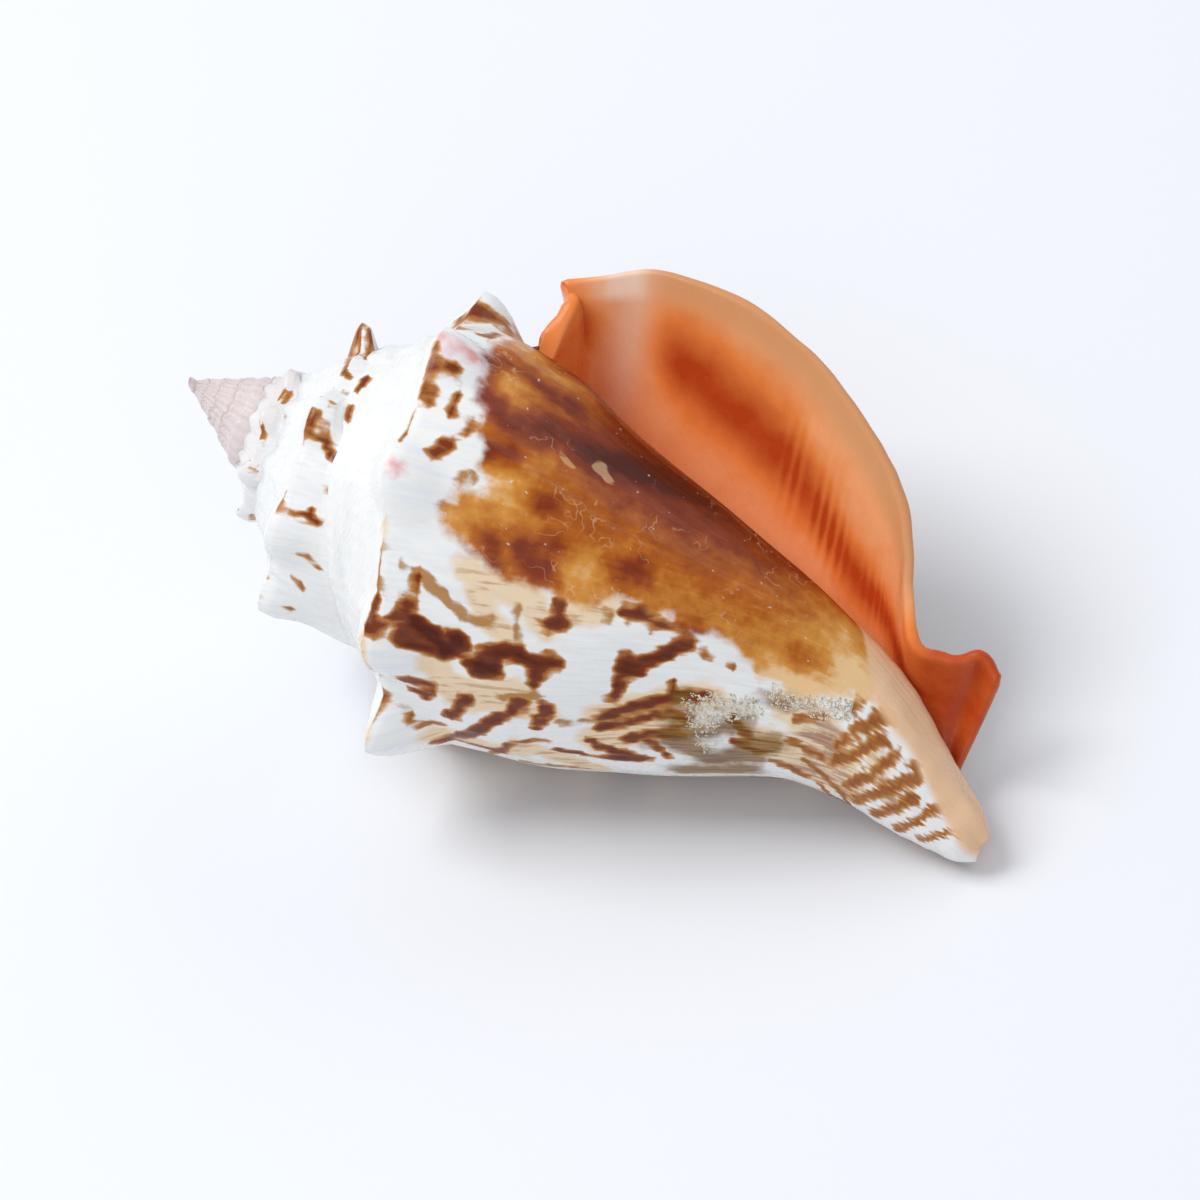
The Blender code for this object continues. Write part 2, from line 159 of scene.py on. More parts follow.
# Spines: whorls back, height, half width along the coil, lean towards the apex in degrees
SPINES = [
    (0.130, 2.2, 5.0, 20), (0.239, 4.0, 5.0, 22), (0.370, 3.6, 5.0, 22),
    (0.500, 4.0, 5.0, 12), (0.605, 2.2, 4.2, 12), (0.741, 2.0, 4.2, 20), (0.864, 2.3, 4.2, 15),
    (0.990, 3.8, 5.4, 5), (1.110, 2.8, 4.0, 30), (1.240, 2.8, 4.0, 30), (1.365, 2.8, 4.0, 30),
    (1.500, 2.2, 4.0, 10), (1.615, 1.6, 3.6, 10), (1.765, 1.6, 3.4, 20), (1.955, 2.6, 3.0, 35),
    (2.100, 1.4, 2.0, 50), (2.230, 1.4, 2.0, 50), (2.360, 1.5, 2.0, 50), (2.480, 1.2, 2.0, 30),
    (2.610, 1.0, 1.6, 45), (2.740, 1.0, 1.6, 45), (2.870, 0.9, 1.6, 45),
]
# How far a body whorl's spine reaches up the ramp and down the side, and the least share of that
SPINE_RAMP_REACH = 3.4
SPINE_SIDE_REACH = 6.0
SPINE_REACH_LEAST = 0.4
SPINE_POWER = 1.5
RAMP_SAG = 0.05
# Wall thicknesses, where they change, and the bulge of an edge as a share of its wall
WALL = 1.8
LIP_WALL = 2.8
LIP_WALL_LENGTH = 0.12
LIP_WALL_ACROSS = (0.6, 1.5)
EDGE_WALL = 1.1
EDGE_WALL_LENGTH = 0.03
ANTERIOR_WALL = 1.0
ANTERIOR_WALL_ACROSS = (1.55, 1.95)
RIM_BULGE = 0.4
RIM_BULGE_ACROSS = 0.6
APERTURE_DEPTH = 0.90
CANAL_SHARE = 0.20
CANAL_FLOOR = [(0.00, 0.0), (0.10, 1.8), (0.20, 4.5), (0.28, 9.0), (0.36, 13.0), (0.50, 19.0), (0.90, 36.0)]
LOW_PULL_ACROSS = (1.85, 2.0)
COLUMELLA = [(0, 1.0), (5, 1.6), (9, 2.3), (16, 3.0), (30, 3.4), (60, 3.4), (88, 0.5)]
COLUMELLA_START = (1.0, 1.08)
COLUMELLA_POWER = 4

# Growth relief, in mm, the places where each comes in or fades, and its waves: how many to a whorl,
# how many to a side or at which row, and their seed
WAVE_COUNT = 7
WAVES_PER_UNIT = (1.0, 2.6)
SUTURE_WANDER = 0.30
SUTURE_WAVES = (7, 0.3, 11)
SUTURE_FADE = (8, 3)
SUTURE_STEP = 0.32
STEP_IN = (0.0, 0.07)
STEP_OUT = (0.75, 0.1)
EARLY_STEP = 2
EARLY_STEP_START = (2, 3.5)
GROWTH_RELIEF = 0.07
GROWTH_WAVES = (30, 0.8, 21)
GROWTH_IN = (0.0, 0.1)
GROWTH_OUT = (1.9, 1.5)
UNEVEN = 0.16
UNEVEN_WAVES = (4.5, 2.3, 22)
UNEVEN_IN = (0.0, 0.2)
CORD_RELIEF = 0.03
CORD_SPACING = 2.5
CORD_TOP = (26.0, 14.0)
CORD_OUT = (2.0, 1.9)
RIB_RELIEF = 0.06
RIBS = 25
RIB_START = (2.6, 3.4)
RIB_IN = (0.0, 0.3)
# The worn lip edge: depth of its chips, their waves outward and down, and the share of them across
EDGE_CHIP = 0.22
CHIP_WAVES_OUT = (7, 0.1, 5)
CHIP_WAVES_DOWN = (9, 0.7, 6)
CHIP_SHARES = [(0.15, 0.9, 1.2), (0.85, 1.84, 1.92)]
NORMAL_STEP = 0.004

# Stations to a whorl, and rows across it, closer together towards the anterior end
STATIONS = 200
RAMP_ROWS = 18
UPPER_ROWS = 6
RIM_ROWS = 6
SIDE_ROWS = 84
SIDE_CROWDING = 1.25


def curve(x, points, column=1):
    """A smooth cubic through the points of one column, level with the end points outside them."""
    xs = np.array([p[0] for p in points], float)
    ys = np.array([p[column] for p in points], float)
    slopes = np.gradient(ys, xs)
    x = np.clip(np.asarray(x, float), xs[0], xs[-1])
    i = np.clip(np.searchsorted(xs, x, side="right") - 1, 0, len(xs) - 2)
    step = xs[i + 1] - xs[i]
    t = (x - xs[i]) / step
    return ((2 * t**3 - 3 * t**2 + 1) * ys[i] + (t**3 - 2 * t**2 + t) * step * slopes[i]
            + (3 * t**2 - 2 * t**3) * ys[i + 1] + (t**3 - t**2) * step * slopes[i + 1])


def ease(low, high, x):
    """0 below low, 1 above high and a smooth step between them."""
    t = np.clip((x - low) / (high - low), 0, 1)
    return t * t * (3 - 2 * t)


def waves(x, y, often_x, often_y, seed):
    """Sum of sine waves, often_x units of them to one x and often_y to one y; mostly -1 to 1.

    The seed draws each wave's direction, its phase and how many come to a unit.
    """
    random = np.random.default_rng(seed)
    total = 0
    for _ in range(WAVE_COUNT):
        angle, phase = random.uniform(0, FULL_TURN, 2)
        often = random.uniform(*WAVES_PER_UNIT) * FULL_TURN
        reached = x * often_x * math.cos(angle) + y * often_y * math.sin(angle)
        total = total + np.sin(often * reached + phase)
    return total / math.sqrt(WAVE_COUNT)


def suture_drop(back):
    """The suture line, wandering a little as each whorl was glued to the one before."""
    wander = SUTURE_WANDER * waves(back, 1, *SUTURE_WAVES)
    return curve(back, SUTURE) + wander * ease(*SUTURE_FADE, back)


def side_end(back):
    """Drop of the lower end of a whorl's side."""
    return np.where(back <= 1, LENGTH, curve(back, SIDE_END))


def side_radius(back, drop):
    """Radius of a whorl's side: the shoulder radius times the side outline at this drop."""
    shoulder_drop = curve(back, SHOULDER, 2)
    share = (drop - shoulder_drop) / (side_end(back) - shoulder_drop)
    near_lip = ease(*NEAR_LIP, back)
    outline = curve(share, SIDE, 1) * near_lip + curve(share, SIDE, 2) * (1 - near_lip)
    return curve(back, SHOULDER, 1) * outline


def suture_radius(back):
    """A suture lies on the side of the whorl before it."""
    return side_radius(np.minimum(back + 1, WHORLS), suture_drop(back))


def to_xyz(radius, drop, azimuth):
    """Cylinder coordinates about the coil axis, with the lower body bowed to one side."""
    height = LENGTH - drop
    shift = curve(height, BOW)
    bow = math.radians(BOW_AZIMUTH)
    return np.stack([radius * np.cos(azimuth) + shift * math.cos(bow),
                     radius * np.sin(azimuth) + shift * math.sin(bow),
                     height + 0 * radius], axis=-1)


def spine_push(back, radius, reach):
    """Sum of the spines: each a blunt knob on the shoulder that leans towards the apex.

    reach is the distance from the shoulder along the profile, over the spine's own reach there.
    """
    out = np.zeros(np.broadcast(back, reach).shape)
    up = np.zeros_like(out)
    for place, height, width, lean in SPINES:
        along = (back - place) * FULL_TURN * radius / width
        bump = height * np.clip(1 - along**2 - reach**2, 0, None)**SPINE_POWER
        out += bump * math.cos(math.radians(lean))
        up += bump * math.sin(math.radians(lean))
    return out, up


def outer(back, across, spines=1.0):
    """The outside of the shell at back whorls from the lip and at across on the profile.

    The ramp is a sagging line from suture to shoulder and the side follows its outline. Spines
    push the shoulder out. Near the lip the surface leaves the coil and flares to the lip edge.
    """
    back, across = np.broadcast_arrays(np.asarray(back, float), np.asarray(across, float))
    shoulder_r = curve(back, SHOULDER, 1)
    shoulder_d = curve(back, SHOULDER, 2)
    suture_r = suture_radius(back)
    suture_d = suture_drop(back)
    ramp = np.clip(across, 0, 1)
    down = np.clip(across - 1, 0, 1)
    ramp_long = np.hypot(shoulder_r - suture_r, shoulder_d - suture_d)
    sag = RAMP_SAG * ramp_long * 4 * ramp * (1 - ramp)
    ramp_r = suture_r + (shoulder_r - suture_r) * ramp - sag
    ramp_d = suture_d + (shoulder_d - suture_d) * ramp
    side_d = shoulder_d + (side_end(back) - shoulder_d) * down
    on_side = across > 1
    radius = np.where(on_side, side_radius(back, side_d), ramp_r)
    drop = np.where(on_side, side_d, ramp_d)
    reach = np.where(on_side, (side_d - shoulder_d) / SPINE_SIDE_REACH,
                     ramp_long * (1 - ramp) / SPINE_RAMP_REACH)
    size = np.clip(shoulder_r / BODY_RADIUS, SPINE_REACH_LEAST, 1)
    out, up = spine_push(back, shoulder_r, reach / size)
    radius = radius + out * spines
    drop = drop - up * spines
    azimuth = math.radians(LIP_AZIMUTH) + FULL_TURN * back

    t = np.clip((FLARE_START - back) / FLARE_START, 0, None)
    flare_out = t**curve(across, FLARE_OUT_POWER)
    flare_down = t**curve(across, FLARE_DOWN_POWER)
    chip = EDGE_CHIP * sum(share * ease(low, high, across) for share, low, high in CHIP_SHARES)
    edge_r = curve(across, LIP_EDGE, 2) + chip * waves(across, 1, *CHIP_WAVES_OUT)
    edge_d = LENGTH - curve(across, LIP_EDGE, 3) + chip * waves(across, 1, *CHIP_WAVES_DOWN)
    edge_azimuth = np.radians(curve(across, LIP_EDGE, 1) - LIP_AZIMUTH)
    start_d = np.where(on_side, curve(0, SHOULDER, 2) + (LENGTH - curve(0, SHOULDER, 2)) * down,
                       suture_drop(0.0) + (curve(0, SHOULDER, 2) - suture_drop(0.0)) * ramp)
    start_r = np.where(on_side, side_radius(0.0, start_d),
                       suture_radius(0.0) + (curve(0, SHOULDER, 1) - suture_radius(0.0)) * ramp)
    radius = radius + (edge_r - start_r) * flare_out
    drop = drop + (edge_d - start_d) * flare_down
    azimuth = azimuth + edge_azimuth * t**FLARE_TURN_POWER
    return to_xyz(radius, drop, azimuth)


def outward(back, across):
    """Unit normal of the outside without its spines, from small steps along both parameters."""
    along = outer(back + NORMAL_STEP, across, 0) - outer(back - NORMAL_STEP, across, 0)
    low = np.clip(across - NORMAL_STEP, 0, 2)
    high = np.clip(across + NORMAL_STEP, 0, 2)
    down = outer(back, high, 0) - outer(back, low, 0)
    normal = np.cross(along, down)
    normal /= np.linalg.norm(normal, axis=-1, keepdims=True)
    return -normal


def relief(back, across, height):
    """Growth relief along the outward normal: suture step, growth lines, unevenness, cords and ribs.

    Growth lines vary along the coil and hardly across it; cords are a cosine of the height, and
    the ribs of the early whorls a cosine of back.
    """
    size = curve(back, SHOULDER, 1) / BODY_RADIUS
    step = SUTURE_STEP * ease(*STEP_IN, across) * ease(*STEP_OUT, across)
    step = step * (1 + EARLY_STEP * ease(*EARLY_STEP_START, back))
    ribs = RIB_RELIEF * np.cos(FULL_TURN * back * RIBS) * ease(*RIB_START, back) * ease(*RIB_IN, across)
    lines = GROWTH_RELIEF * waves(back, across, *GROWTH_WAVES)
    lines = lines * ease(*GROWTH_IN, across) * ease(*GROWTH_OUT, across)
    uneven = UNEVEN * waves(back, across, *UNEVEN_WAVES) * ease(*UNEVEN_IN, across)
    cords = CORD_RELIEF * np.cos(FULL_TURN * height / CORD_SPACING)
    cords = cords * ease(*CORD_TOP, height) * ease(*CORD_OUT, across)
    return (step + lines + uneven + cords) * size + ribs


def outside(back, across):
    """The outside with its growth relief."""
    back, across = np.broadcast_arrays(np.asarray(back, float), np.asarray(across, float))
    smooth = outer(back, across)
    return smooth + outward(back, across) * relief(back, across, smooth[..., 2])[..., None]


def wall(back, across):
    """Wall thickness: thicker at the lip, rounded off to its edge, thinner at the anterior end."""
    thick = WALL + (LIP_WALL - WALL) * (1 - ease(0.0, LIP_WALL_LENGTH, back)) * ease(*LIP_WALL_ACROSS, across)
    thick = thick + (ANTERIOR_WALL - thick) * ease(*ANTERIOR_WALL_ACROSS, across)
    edge = np.minimum(thick, EDGE_WALL)
    t = np.clip(back / EDGE_WALL_LENGTH, 0, 1)
    return edge + (thick - edge) * np.sqrt(t * (2 - t))


def canal_floor(back):
    """Height of the lower end of the aperture's hollow."""
    return curve(back, CANAL_FLOOR)


def inner_wall(back, share):
    """The side of the whorl before, seen inside the aperture: parietal wall, then columella.

    share runs from just under the suture to the lower end of the hollow.
    """
    top = LENGTH - suture_drop(back - 1) - WALL
    low = canal_floor(back - 1)
    height = top + (low - top) * share
    rod = curve(height, COLUMELLA) * ease(*COLUMELLA_START, back)
    body = side_radius(back, LENGTH - height)
    radius = (body**COLUMELLA_POWER + rod**COLUMELLA_POWER)**(1 / COLUMELLA_POWER)
    return to_xyz(radius, LENGTH - height, math.radians(LIP_AZIMUTH) + FULL_TURN * back)


def unit(v):
    """Vectors scaled to length one."""
    return v / np.linalg.norm(v, axis=-1, keepdims=True)


def corners(grid, turned):
    """The four corner values of each cell of a grid, one row a cell, in the order that faces out."""
    around = [grid[:-1, :-1], grid[1:, :-1], grid[1:, 1:], grid[:-1, 1:]]
    if turned:
        around = [around[0], around[3], around[2], around[1]]
    return np.stack(around, axis=-1).reshape(-1, 4)


def shell_sheets():
    """All the sheets of the wall, sewn along the sutures, the rim and the closed ends.

    Gives the points, and for each sheet its vertex numbers, whether it is turned to face out, and
    its (back, across, inside) coordinates. A closed end is a fan, given as a loop and its middle.
    """
    points = []

    def add(positions):
        """Stores positions and gives back their vertex numbers."""
        flat = np.asarray(positions, float).reshape(-1, 3)
        first = sum(len(p) for p in points)
        points.append(flat)
        return (first + np.arange(len(flat))).reshape(np.shape(positions)[:-1])

    n = STATIONS
    split = RAMP_ROWS + UPPER_ROWS
    foot = split + RIM_ROWS
    last = foot + SIDE_ROWS
    deep = round(APERTURE_DEPTH * n)
    canal = round(CANAL_SHARE * n)

    # Rows of the body whorl, and where the suture and the lip's foot meet it one whorl back
    shoulder_one = float(curve(1, SHOULDER, 2))
    side_long = LENGTH - shoulder_one
    split_share = (float(suture_drop(0.0)) - shoulder_one) / side_long
    foot_share = split_share + WALL / side_long
    across = np.concatenate([
        np.linspace(0, 1, RAMP_ROWS + 1),
        1 + np.linspace(0, split_share, UPPER_ROWS + 1)[1:],
        1 + np.linspace(split_share, foot_share, RIM_ROWS + 1)[1:],
        1 + foot_share + (1 - foot_share) * (1 - np.linspace(1, 0, SIDE_ROWS + 1)[1:]**SIDE_CROWDING),
    ])

    # Outside of the body whorl
    body_back = np.arange(n + 1) / n
    body_points = outside(body_back[:, None], across[None, :])
    body = add(body_points)
    body[n, split] = body[0, 0]

    # Outside of the spire: each whorl shows from its suture down to the next
    spire_back = np.arange(n, WHORLS * n + 1) / n
    shown = ((suture_drop(spire_back - 1) - curve(spire_back, SHOULDER, 2))
             / (side_end(spire_back) - curve(spire_back, SHOULDER, 2)))
    spire_across = np.concatenate([
        np.tile(np.linspace(0, 1, RAMP_ROWS + 1), (len(spire_back), 1)),
        1 + shown[:, None] * np.linspace(0, 1, UPPER_ROWS + 1)[1:],
    ], axis=1)
    spire = add(outside(spire_back[:, None], spire_across))
    spire[0] = body[n, :split + 1]
    spire[:n + 1, split] = body[:, 0]
    spire[n:, split] = spire[:-n, 0]

    # Columella side of the aperture
    core_back = 1 + np.arange(deep + 1) / n
    core = add(inner_wall(core_back[:, None], np.linspace(0, 1, SIDE_ROWS + 1)[None, :]))
    core[0] = body[n, foot:]

    # Inside of the outer wall
    lining_back = core_back - 1
    floor_share = 1 - canal_floor(lining_back) / (LENGTH - curve(lining_back, SHOULDER, 2))
    floor_share = np.where(lining_back <= CANAL_SHARE, 1, floor_share)
    shrunk = 1 + (across[None, :] - 1) * floor_share[:, None]
    lining_across = np.where(across[None, :] > 1, shrunk, across[None, :])
    back_grid = np.broadcast_to(lining_back[:, None], lining_across.shape)
    lining_points = (outer(back_grid, lining_across, 0)
                     - outward(back_grid, lining_across) * wall(back_grid, lining_across)[..., None])
    core_points = np.concatenate(points)[core]
    top_pull = np.clip(1 - across, 0, 1)**2
    low_pull = ease(*LOW_PULL_ACROSS, across)[None, :] * (lining_back >= CANAL_SHARE)[:, None]
    top_gap = core_points[:, :1] - lining_points[:, :1]
    low_gap = core_points[:, -1:] - lining_points[:, -1:]
    lining_points = lining_points + top_gap * top_pull[None, :, None] + low_gap * low_pull[..., None]
    lining = add(lining_points)
    lining[:, 0] = core[:, 0]
    lining[canal:, last] = core[canal:, -1]

    # Rim of the lip and of the anterior margin, rounded over the wall's thickness
    angle = np.linspace(0, math.pi, RIM_ROWS + 1)

    def rim(outside_edge, inside_edge, ahead):
        """Half-round strip between two edges, bulging towards ahead."""
        middle = (outside_edge + inside_edge) / 2
        half = (outside_edge - inside_edge) / 2
        ahead = ahead * np.linalg.norm(outside_edge - inside_edge, axis=-1, keepdims=True)
        return (middle[:, None] + half[:, None] * np.cos(angle)[None, :, None]
                + (ahead * RIM_BULGE)[:, None] * np.sin(angle)[None, :, None])

    lip_ahead = unit(body_points[0] - body_points[1])
    lip_ahead *= ease(0, RIM_BULGE_ACROSS, across)[:, None]
    lip_rim = add(rim(body_points[0], lining_points[0], lip_ahead))
    lip_rim[:, 0] = body[0]
    lip_rim[:, -1] = lining[0]
    lip_rim[0] = body[n, split:foot + 1]

    margin_out = body_points[:canal + 1, -1]
    margin_in = lining_points[:canal + 1, -1]
    margin_ahead = unit(body_points[:canal + 1, -1] - body_points[:canal + 1, -2])
    margin = add(rim(margin_out, margin_in, margin_ahead))
    margin[:, 0] = body[:canal + 1, last]
    margin[:, -1] = lining[:canal + 1, last]
    margin[0] = lip_rim[-1]

    through = np.linspace(0, 1, RIM_ROWS + 1)
    core_across = 1 + foot_share + (1 - foot_share) * np.linspace(0, 1, SIDE_ROWS + 1)
    sheets = [
        (body, True, body_back[:, None], across[None, :], 0.0),
        (spire, True, spire_back[:, None], spire_across, 0.0),
        (core, True, core_back[:, None], core_across[None, :], 1.0),
        (lining, False, lining_back[:, None], across[None, :], 1.0),
        (lip_rim, True, 0.0, across[:, None], through[None, :]),
        (margin, True, body_back[:canal + 1, None], 2.0, through[None, :]),
    ]

    def middle(loop):
        """A vertex at the middle of a loop."""
        return int(add(np.concatenate(points)[loop].mean(axis=0)[None])[0])

    tip = body[canal:, last].tolist() + core[1:canal + 1, -1].tolist() + margin[canal, -2:0:-1].tolist()
    inner_end = lining[deep, :].tolist() + core[deep, -2:0:-1].tolist()
    apex = spire[-n - 1:, 0].tolist() + spire[-1, 1:-1].tolist()
    fans = [
        (tip[::-1], middle(tip), (0.8, 2.0, 0.0)),
        (inner_end[::-1], middle(inner_end), (0.9, 1.5, 1.0)),
        (apex, middle(apex), (8.0, 0.0, 0.0)),
    ]
    return np.concatenate(points), sheets, fans


points, sheets, fans = shell_sheets()
quads = np.concatenate([corners(ids, turned) for ids, turned, *_ in sheets])
fan_faces = np.array([
    (a, b, centre) for loop, centre, _ in fans for a, b in zip(loop, loop[1:] + loop[:1])
])
used = np.unique(np.concatenate([quads.ravel(), fan_faces.ravel()]))
number = np.zeros(len(points), int)
number[used] = np.arange(len(used))
shell_mesh = bpy.data.meshes.new("conch_shell_wall")
shell_mesh.from_pydata(rest(points[used]).tolist(), [], number[quads].tolist() + number[fan_faces].tolist())
shell_mesh.shade_smooth()


def coil_corners(column):
    """One of back, across or inside (column 0, 1 or 2) at every face corner of the mesh."""
    values = [corners(np.broadcast_to(places[column], ids.shape), turned).ravel()
              for ids, turned, *places in sheets]
    values += [np.full(3 * len(loop), place[column]) for loop, _, place in fans]
    return np.concatenate(values)


back = coil_corners(0)
across = coil_corners(1)
inside = coil_corners(2)

# Where the colours lie, as soft fields at the corners. A mark is a stroke: its half width in pixels,
# then x and y of each of the few pixels of the 1200 x 1200 photograph that its line runs through.
# The first ones are the flames of the body whorl
FLAMES = [
    (5, 416, 569, 414, 595, 398, 614, 373, 632), (7.5, 414, 621, 402, 637),
    (11.5, 416, 625, 447, 648, 458, 640), (7.5, 403, 642, 443, 654), (13, 476, 669, 489, 666),
    (8.5, 489, 653, 518, 651, 530, 664, 556, 664), (6.5, 540, 669, 532, 685),
    (6, 561, 604, 558, 617, 564, 624, 545, 624), (4.5, 402, 680, 432, 685, 431, 696, 414, 691),
    (1.5, 388, 691, 389, 705), (3, 403, 703, 410, 716, 419, 725, 443, 724),
    (6, 466, 698, 458, 711, 450, 716), (6, 521, 701, 511, 714, 489, 724, 469, 733, 443, 740),
    (5, 545, 704, 547, 717, 536, 729), (3, 443, 742, 479, 746, 505, 751),
    (4.5, 556, 748, 576, 753, 587, 755), (4, 592, 740, 605, 749), (7.5, 609, 759, 634, 757),
    (6.5, 628, 657, 623, 669, 637, 671), (3, 617, 688, 609, 701),
    (2.5, 489, 753, 505, 746, 527, 739, 550, 741), (2.5, 524, 762, 559, 766, 588, 769),
    (2.5, 601, 746, 624, 751), (4, 430, 456, 448, 444, 475, 426), (1.5, 439, 345, 437, 375, 432, 404),
    (3, 455, 366, 457, 386, 451, 416), (2, 469, 318, 464, 302), (2.5, 484, 306, 494, 318),
    (2.5, 460, 322, 484, 320, 505, 321), (2.5, 471, 330, 486, 339, 514, 333, 529, 338),
    (2.5, 516, 318, 529, 333, 538, 348), (7, 627, 612, 650, 611), (3.5, 652, 625, 682, 628),
    (6.5, 689, 644, 659, 658, 628, 666, 618, 685), (5, 707, 655), (2.5, 732, 667), (2.5, 759, 672),
    (2.5, 673, 683, 671, 696), (5.5, 600, 719, 636, 707, 668, 697, 707, 695), (3.5, 609, 702, 619, 693),
    (4.5, 600, 729, 627, 724, 659, 715), (4.5, 668, 710, 687, 719), (5.5, 627, 740, 659, 731, 677, 733),
    (5.5, 600, 746, 623, 754, 646, 758), (4, 650, 742, 668, 756), (4, 732, 719, 750, 738),
    (4, 737, 742, 759, 751),
]
# Paler brown marks among them
LIGHT_FLAMES = [
    (6, 419, 572, 440, 592, 463, 614), (3, 518, 604, 518, 643), (4, 479, 621, 493, 617),
    (3.5, 559, 724, 608, 720, 630, 714), (3, 398, 550, 401, 566), (2.5, 381, 579, 382, 595),
    (4, 608, 609, 608, 621), (4, 501, 698, 540, 695), (5, 634, 609, 637, 617),
    (2.5, 459, 483, 466, 474, 475, 477), (3.5, 436, 492, 448, 510), (3.5, 460, 510, 469, 516),
]
# Bars of the anterior end, which follow its cords
BARS = [
    (3.5, 870, 682, 862, 697, 855, 710), (6, 873, 720, 892, 717), (3.5, 837, 745, 855, 731, 878, 720),
    (4, 830, 765, 855, 755, 885, 739), (4, 846, 786, 873, 774, 898, 754), (5, 914, 766),
    (4.5, 855, 801, 892, 788, 919, 778), (4, 873, 815, 896, 808, 914, 797),
    (3.5, 896, 829, 919, 820, 941, 807), (2.5, 919, 839, 949, 833), (2.5, 958, 833),
    (5.5, 773, 760, 805, 776), (4, 791, 742, 819, 756), (4, 819, 783, 846, 806), (2.5, 796, 719, 828, 717),
    (4.5, 805, 760, 837, 788, 873, 822),
]
# Marks round the knobs of the whorls above
SPIRE_MARKS = [
    (3.5, 362, 324, 357, 341), (3, 371, 332, 378, 346, 365, 358), (2.5, 351, 350, 349, 377),
    (4, 357, 390, 368, 378), (2.5, 346, 393, 356, 393), (3.5, 350, 407, 348, 419), (3, 334, 404),
    (3, 319, 412, 310, 421, 313, 437, 322, 442), (4, 325, 426, 327, 441, 333, 458),
    (4.5, 300, 515, 312, 514, 317, 524), (3, 281, 510), (3, 327, 492), (3, 302, 554, 314, 562, 320, 568),
    (3.5, 295, 578, 302, 590), (2.5, 268, 578), (2.5, 280, 605, 292, 610), (2, 261, 426, 263, 440),
    (2, 253, 470), (2, 251, 517), (2, 285, 416), (2, 290, 392, 285, 402),
]
# Tan shade between the flames
TAN = [
    (16, 440, 669, 456, 695), (16, 460, 701, 518, 695), (13, 472, 691, 543, 714), (14, 472, 575, 530, 598),
    (13, 479, 601, 505, 637), (13, 530, 604, 543, 624), (13, 576, 614, 601, 604), (11, 440, 733, 518, 753),
    (13, 524, 746, 595, 766), (14.5, 600, 715, 709, 697), (21, 796, 710, 837, 751, 846, 788),
    (21, 764, 742, 819, 774), (18, 600, 742, 673, 724), (8, 873, 756, 892, 806),
]
# The edge of the amber glaze that the animal's mantle laid over the body whorl, and the places
# (back, across) where it runs on under the lip and the columella
GLAZE = [
    (505, 338), (489, 349), (476, 355), (486, 365), (477, 385), (472, 400), (483, 412), (472, 430),
    (486, 447), (476, 466), (486, 480), (480, 492), (462, 482), (455, 500), (437, 505), (440, 527),
    (469, 549), (491, 572), (537, 594), (560, 600), (588, 617), (605, 600), (622, 594), (650, 614),
    (672, 618), (684, 637), (710, 636), (732, 646), (750, 664), (760, 680), (782, 688), (800, 700),
]
GLAZE_START = (1.02, 1.05)
GLAZE_END = [(0.79, 1.77), (0.84, 1.76), (0.90, 1.74), (1.02, 1.70)]
# Its darker places in the photograph, and its lighter ones as places
GLAZE_DARK = [
    (5, 474, 364, 502, 360, 531, 377, 550, 390), (12, 489, 398, 505, 420, 529, 429, 558, 429),
    (10, 558, 429, 598, 459, 640, 473, 700, 495), (4, 544, 354, 559, 369, 586, 384, 610, 411),
    (5, 571, 405), (6.5, 486, 447, 511, 454), (8, 544, 500), (8.5, 489, 543, 492, 559),
    (11, 524, 550, 530, 569, 543, 569), (6, 556, 545), (4.5, 466, 559, 472, 569), (6.5, 796, 663, 819, 665),
    (6.5, 618, 574, 636, 569), (2.5, 687, 628, 705, 635), (6.5, 823, 587, 855, 633),
]
GLAZE_LIGHT = [
    ([(0.88, 1.10), (0.86, 1.11)], 1.2), ([(0.93, 1.11), (0.93, 1.20)], 1.4),
    ([(0.77, 1.15), (0.80, 1.19)], 1.2), ([(0.72, 1.62), (0.80, 1.72)], 1.6),
    ([(0.75, 1.29), (0.76, 1.35)], 1.0), ([(0.97, 1.28), (0.98, 1.34)], 1.6),
]
# Three pale scars in it, where barnacles sat
SCARS = [
    (4, 565, 458, 571, 465), (5, 601, 470, 609, 480), (3, 594, 498, 594, 502),
]
# Upper edge of the peach strip along the columella, as across, back
COLUMELLA_EDGE = [
    (1.66, 1.02), (1.71, 0.91), (1.75, 0.81), (1.80, 0.78), (1.86, 0.76), (1.95, 0.66), (2.00, 0.57),
]
COLUMELLA_TOP = 1.6
# Pink knob tips, olive stain of algae and patches of sand
PINK = [
    (2.5, 448, 338, 449, 353), (6.5, 465, 350, 475, 360), (4, 442, 333), (4, 398, 465, 402, 471),
]
ALGAE = [
    (18, 682, 742, 714, 760), (14.5, 714, 760, 755, 751, 773, 742), (15.5, 687, 770, 750, 770),
    (8, 687, 701, 677, 719), (3.5, 764, 697, 782, 706), (4.5, 636, 742, 646, 747), (10, 676, 736, 742, 726),
    (9, 700, 752, 760, 760),
]
SAND = [
    (7.5, 698, 706, 703, 726), (6.5, 707, 713, 750, 708), (4.5, 707, 745),
    (3.5, 787, 701, 814, 708, 848, 710), (3, 775, 694), (4.5, 707, 701, 737, 704),
]
# Millimetres for one across down the body whorl's side and down its ramp
SIDE_MM = 57.0
RAMP_MM = 9.0
# Marks waver off their strokes and spread beyond them by this much, in mm
WAVER = 0.22
WAVER_WAVES = [(40, 20, 41), (40, 20, 42)]
SPREAD = 0.14
# What keeps a division from meeting zero, in mm, the most that one stroke runs back, in whorls, and
# what a field says where no mark is near
NEAR_ENOUGH = 0.001
TINY = 1e-12
SAME_WHORL = 0.3
FAR = -9.0
FAR_OUTSIDE = -20.0

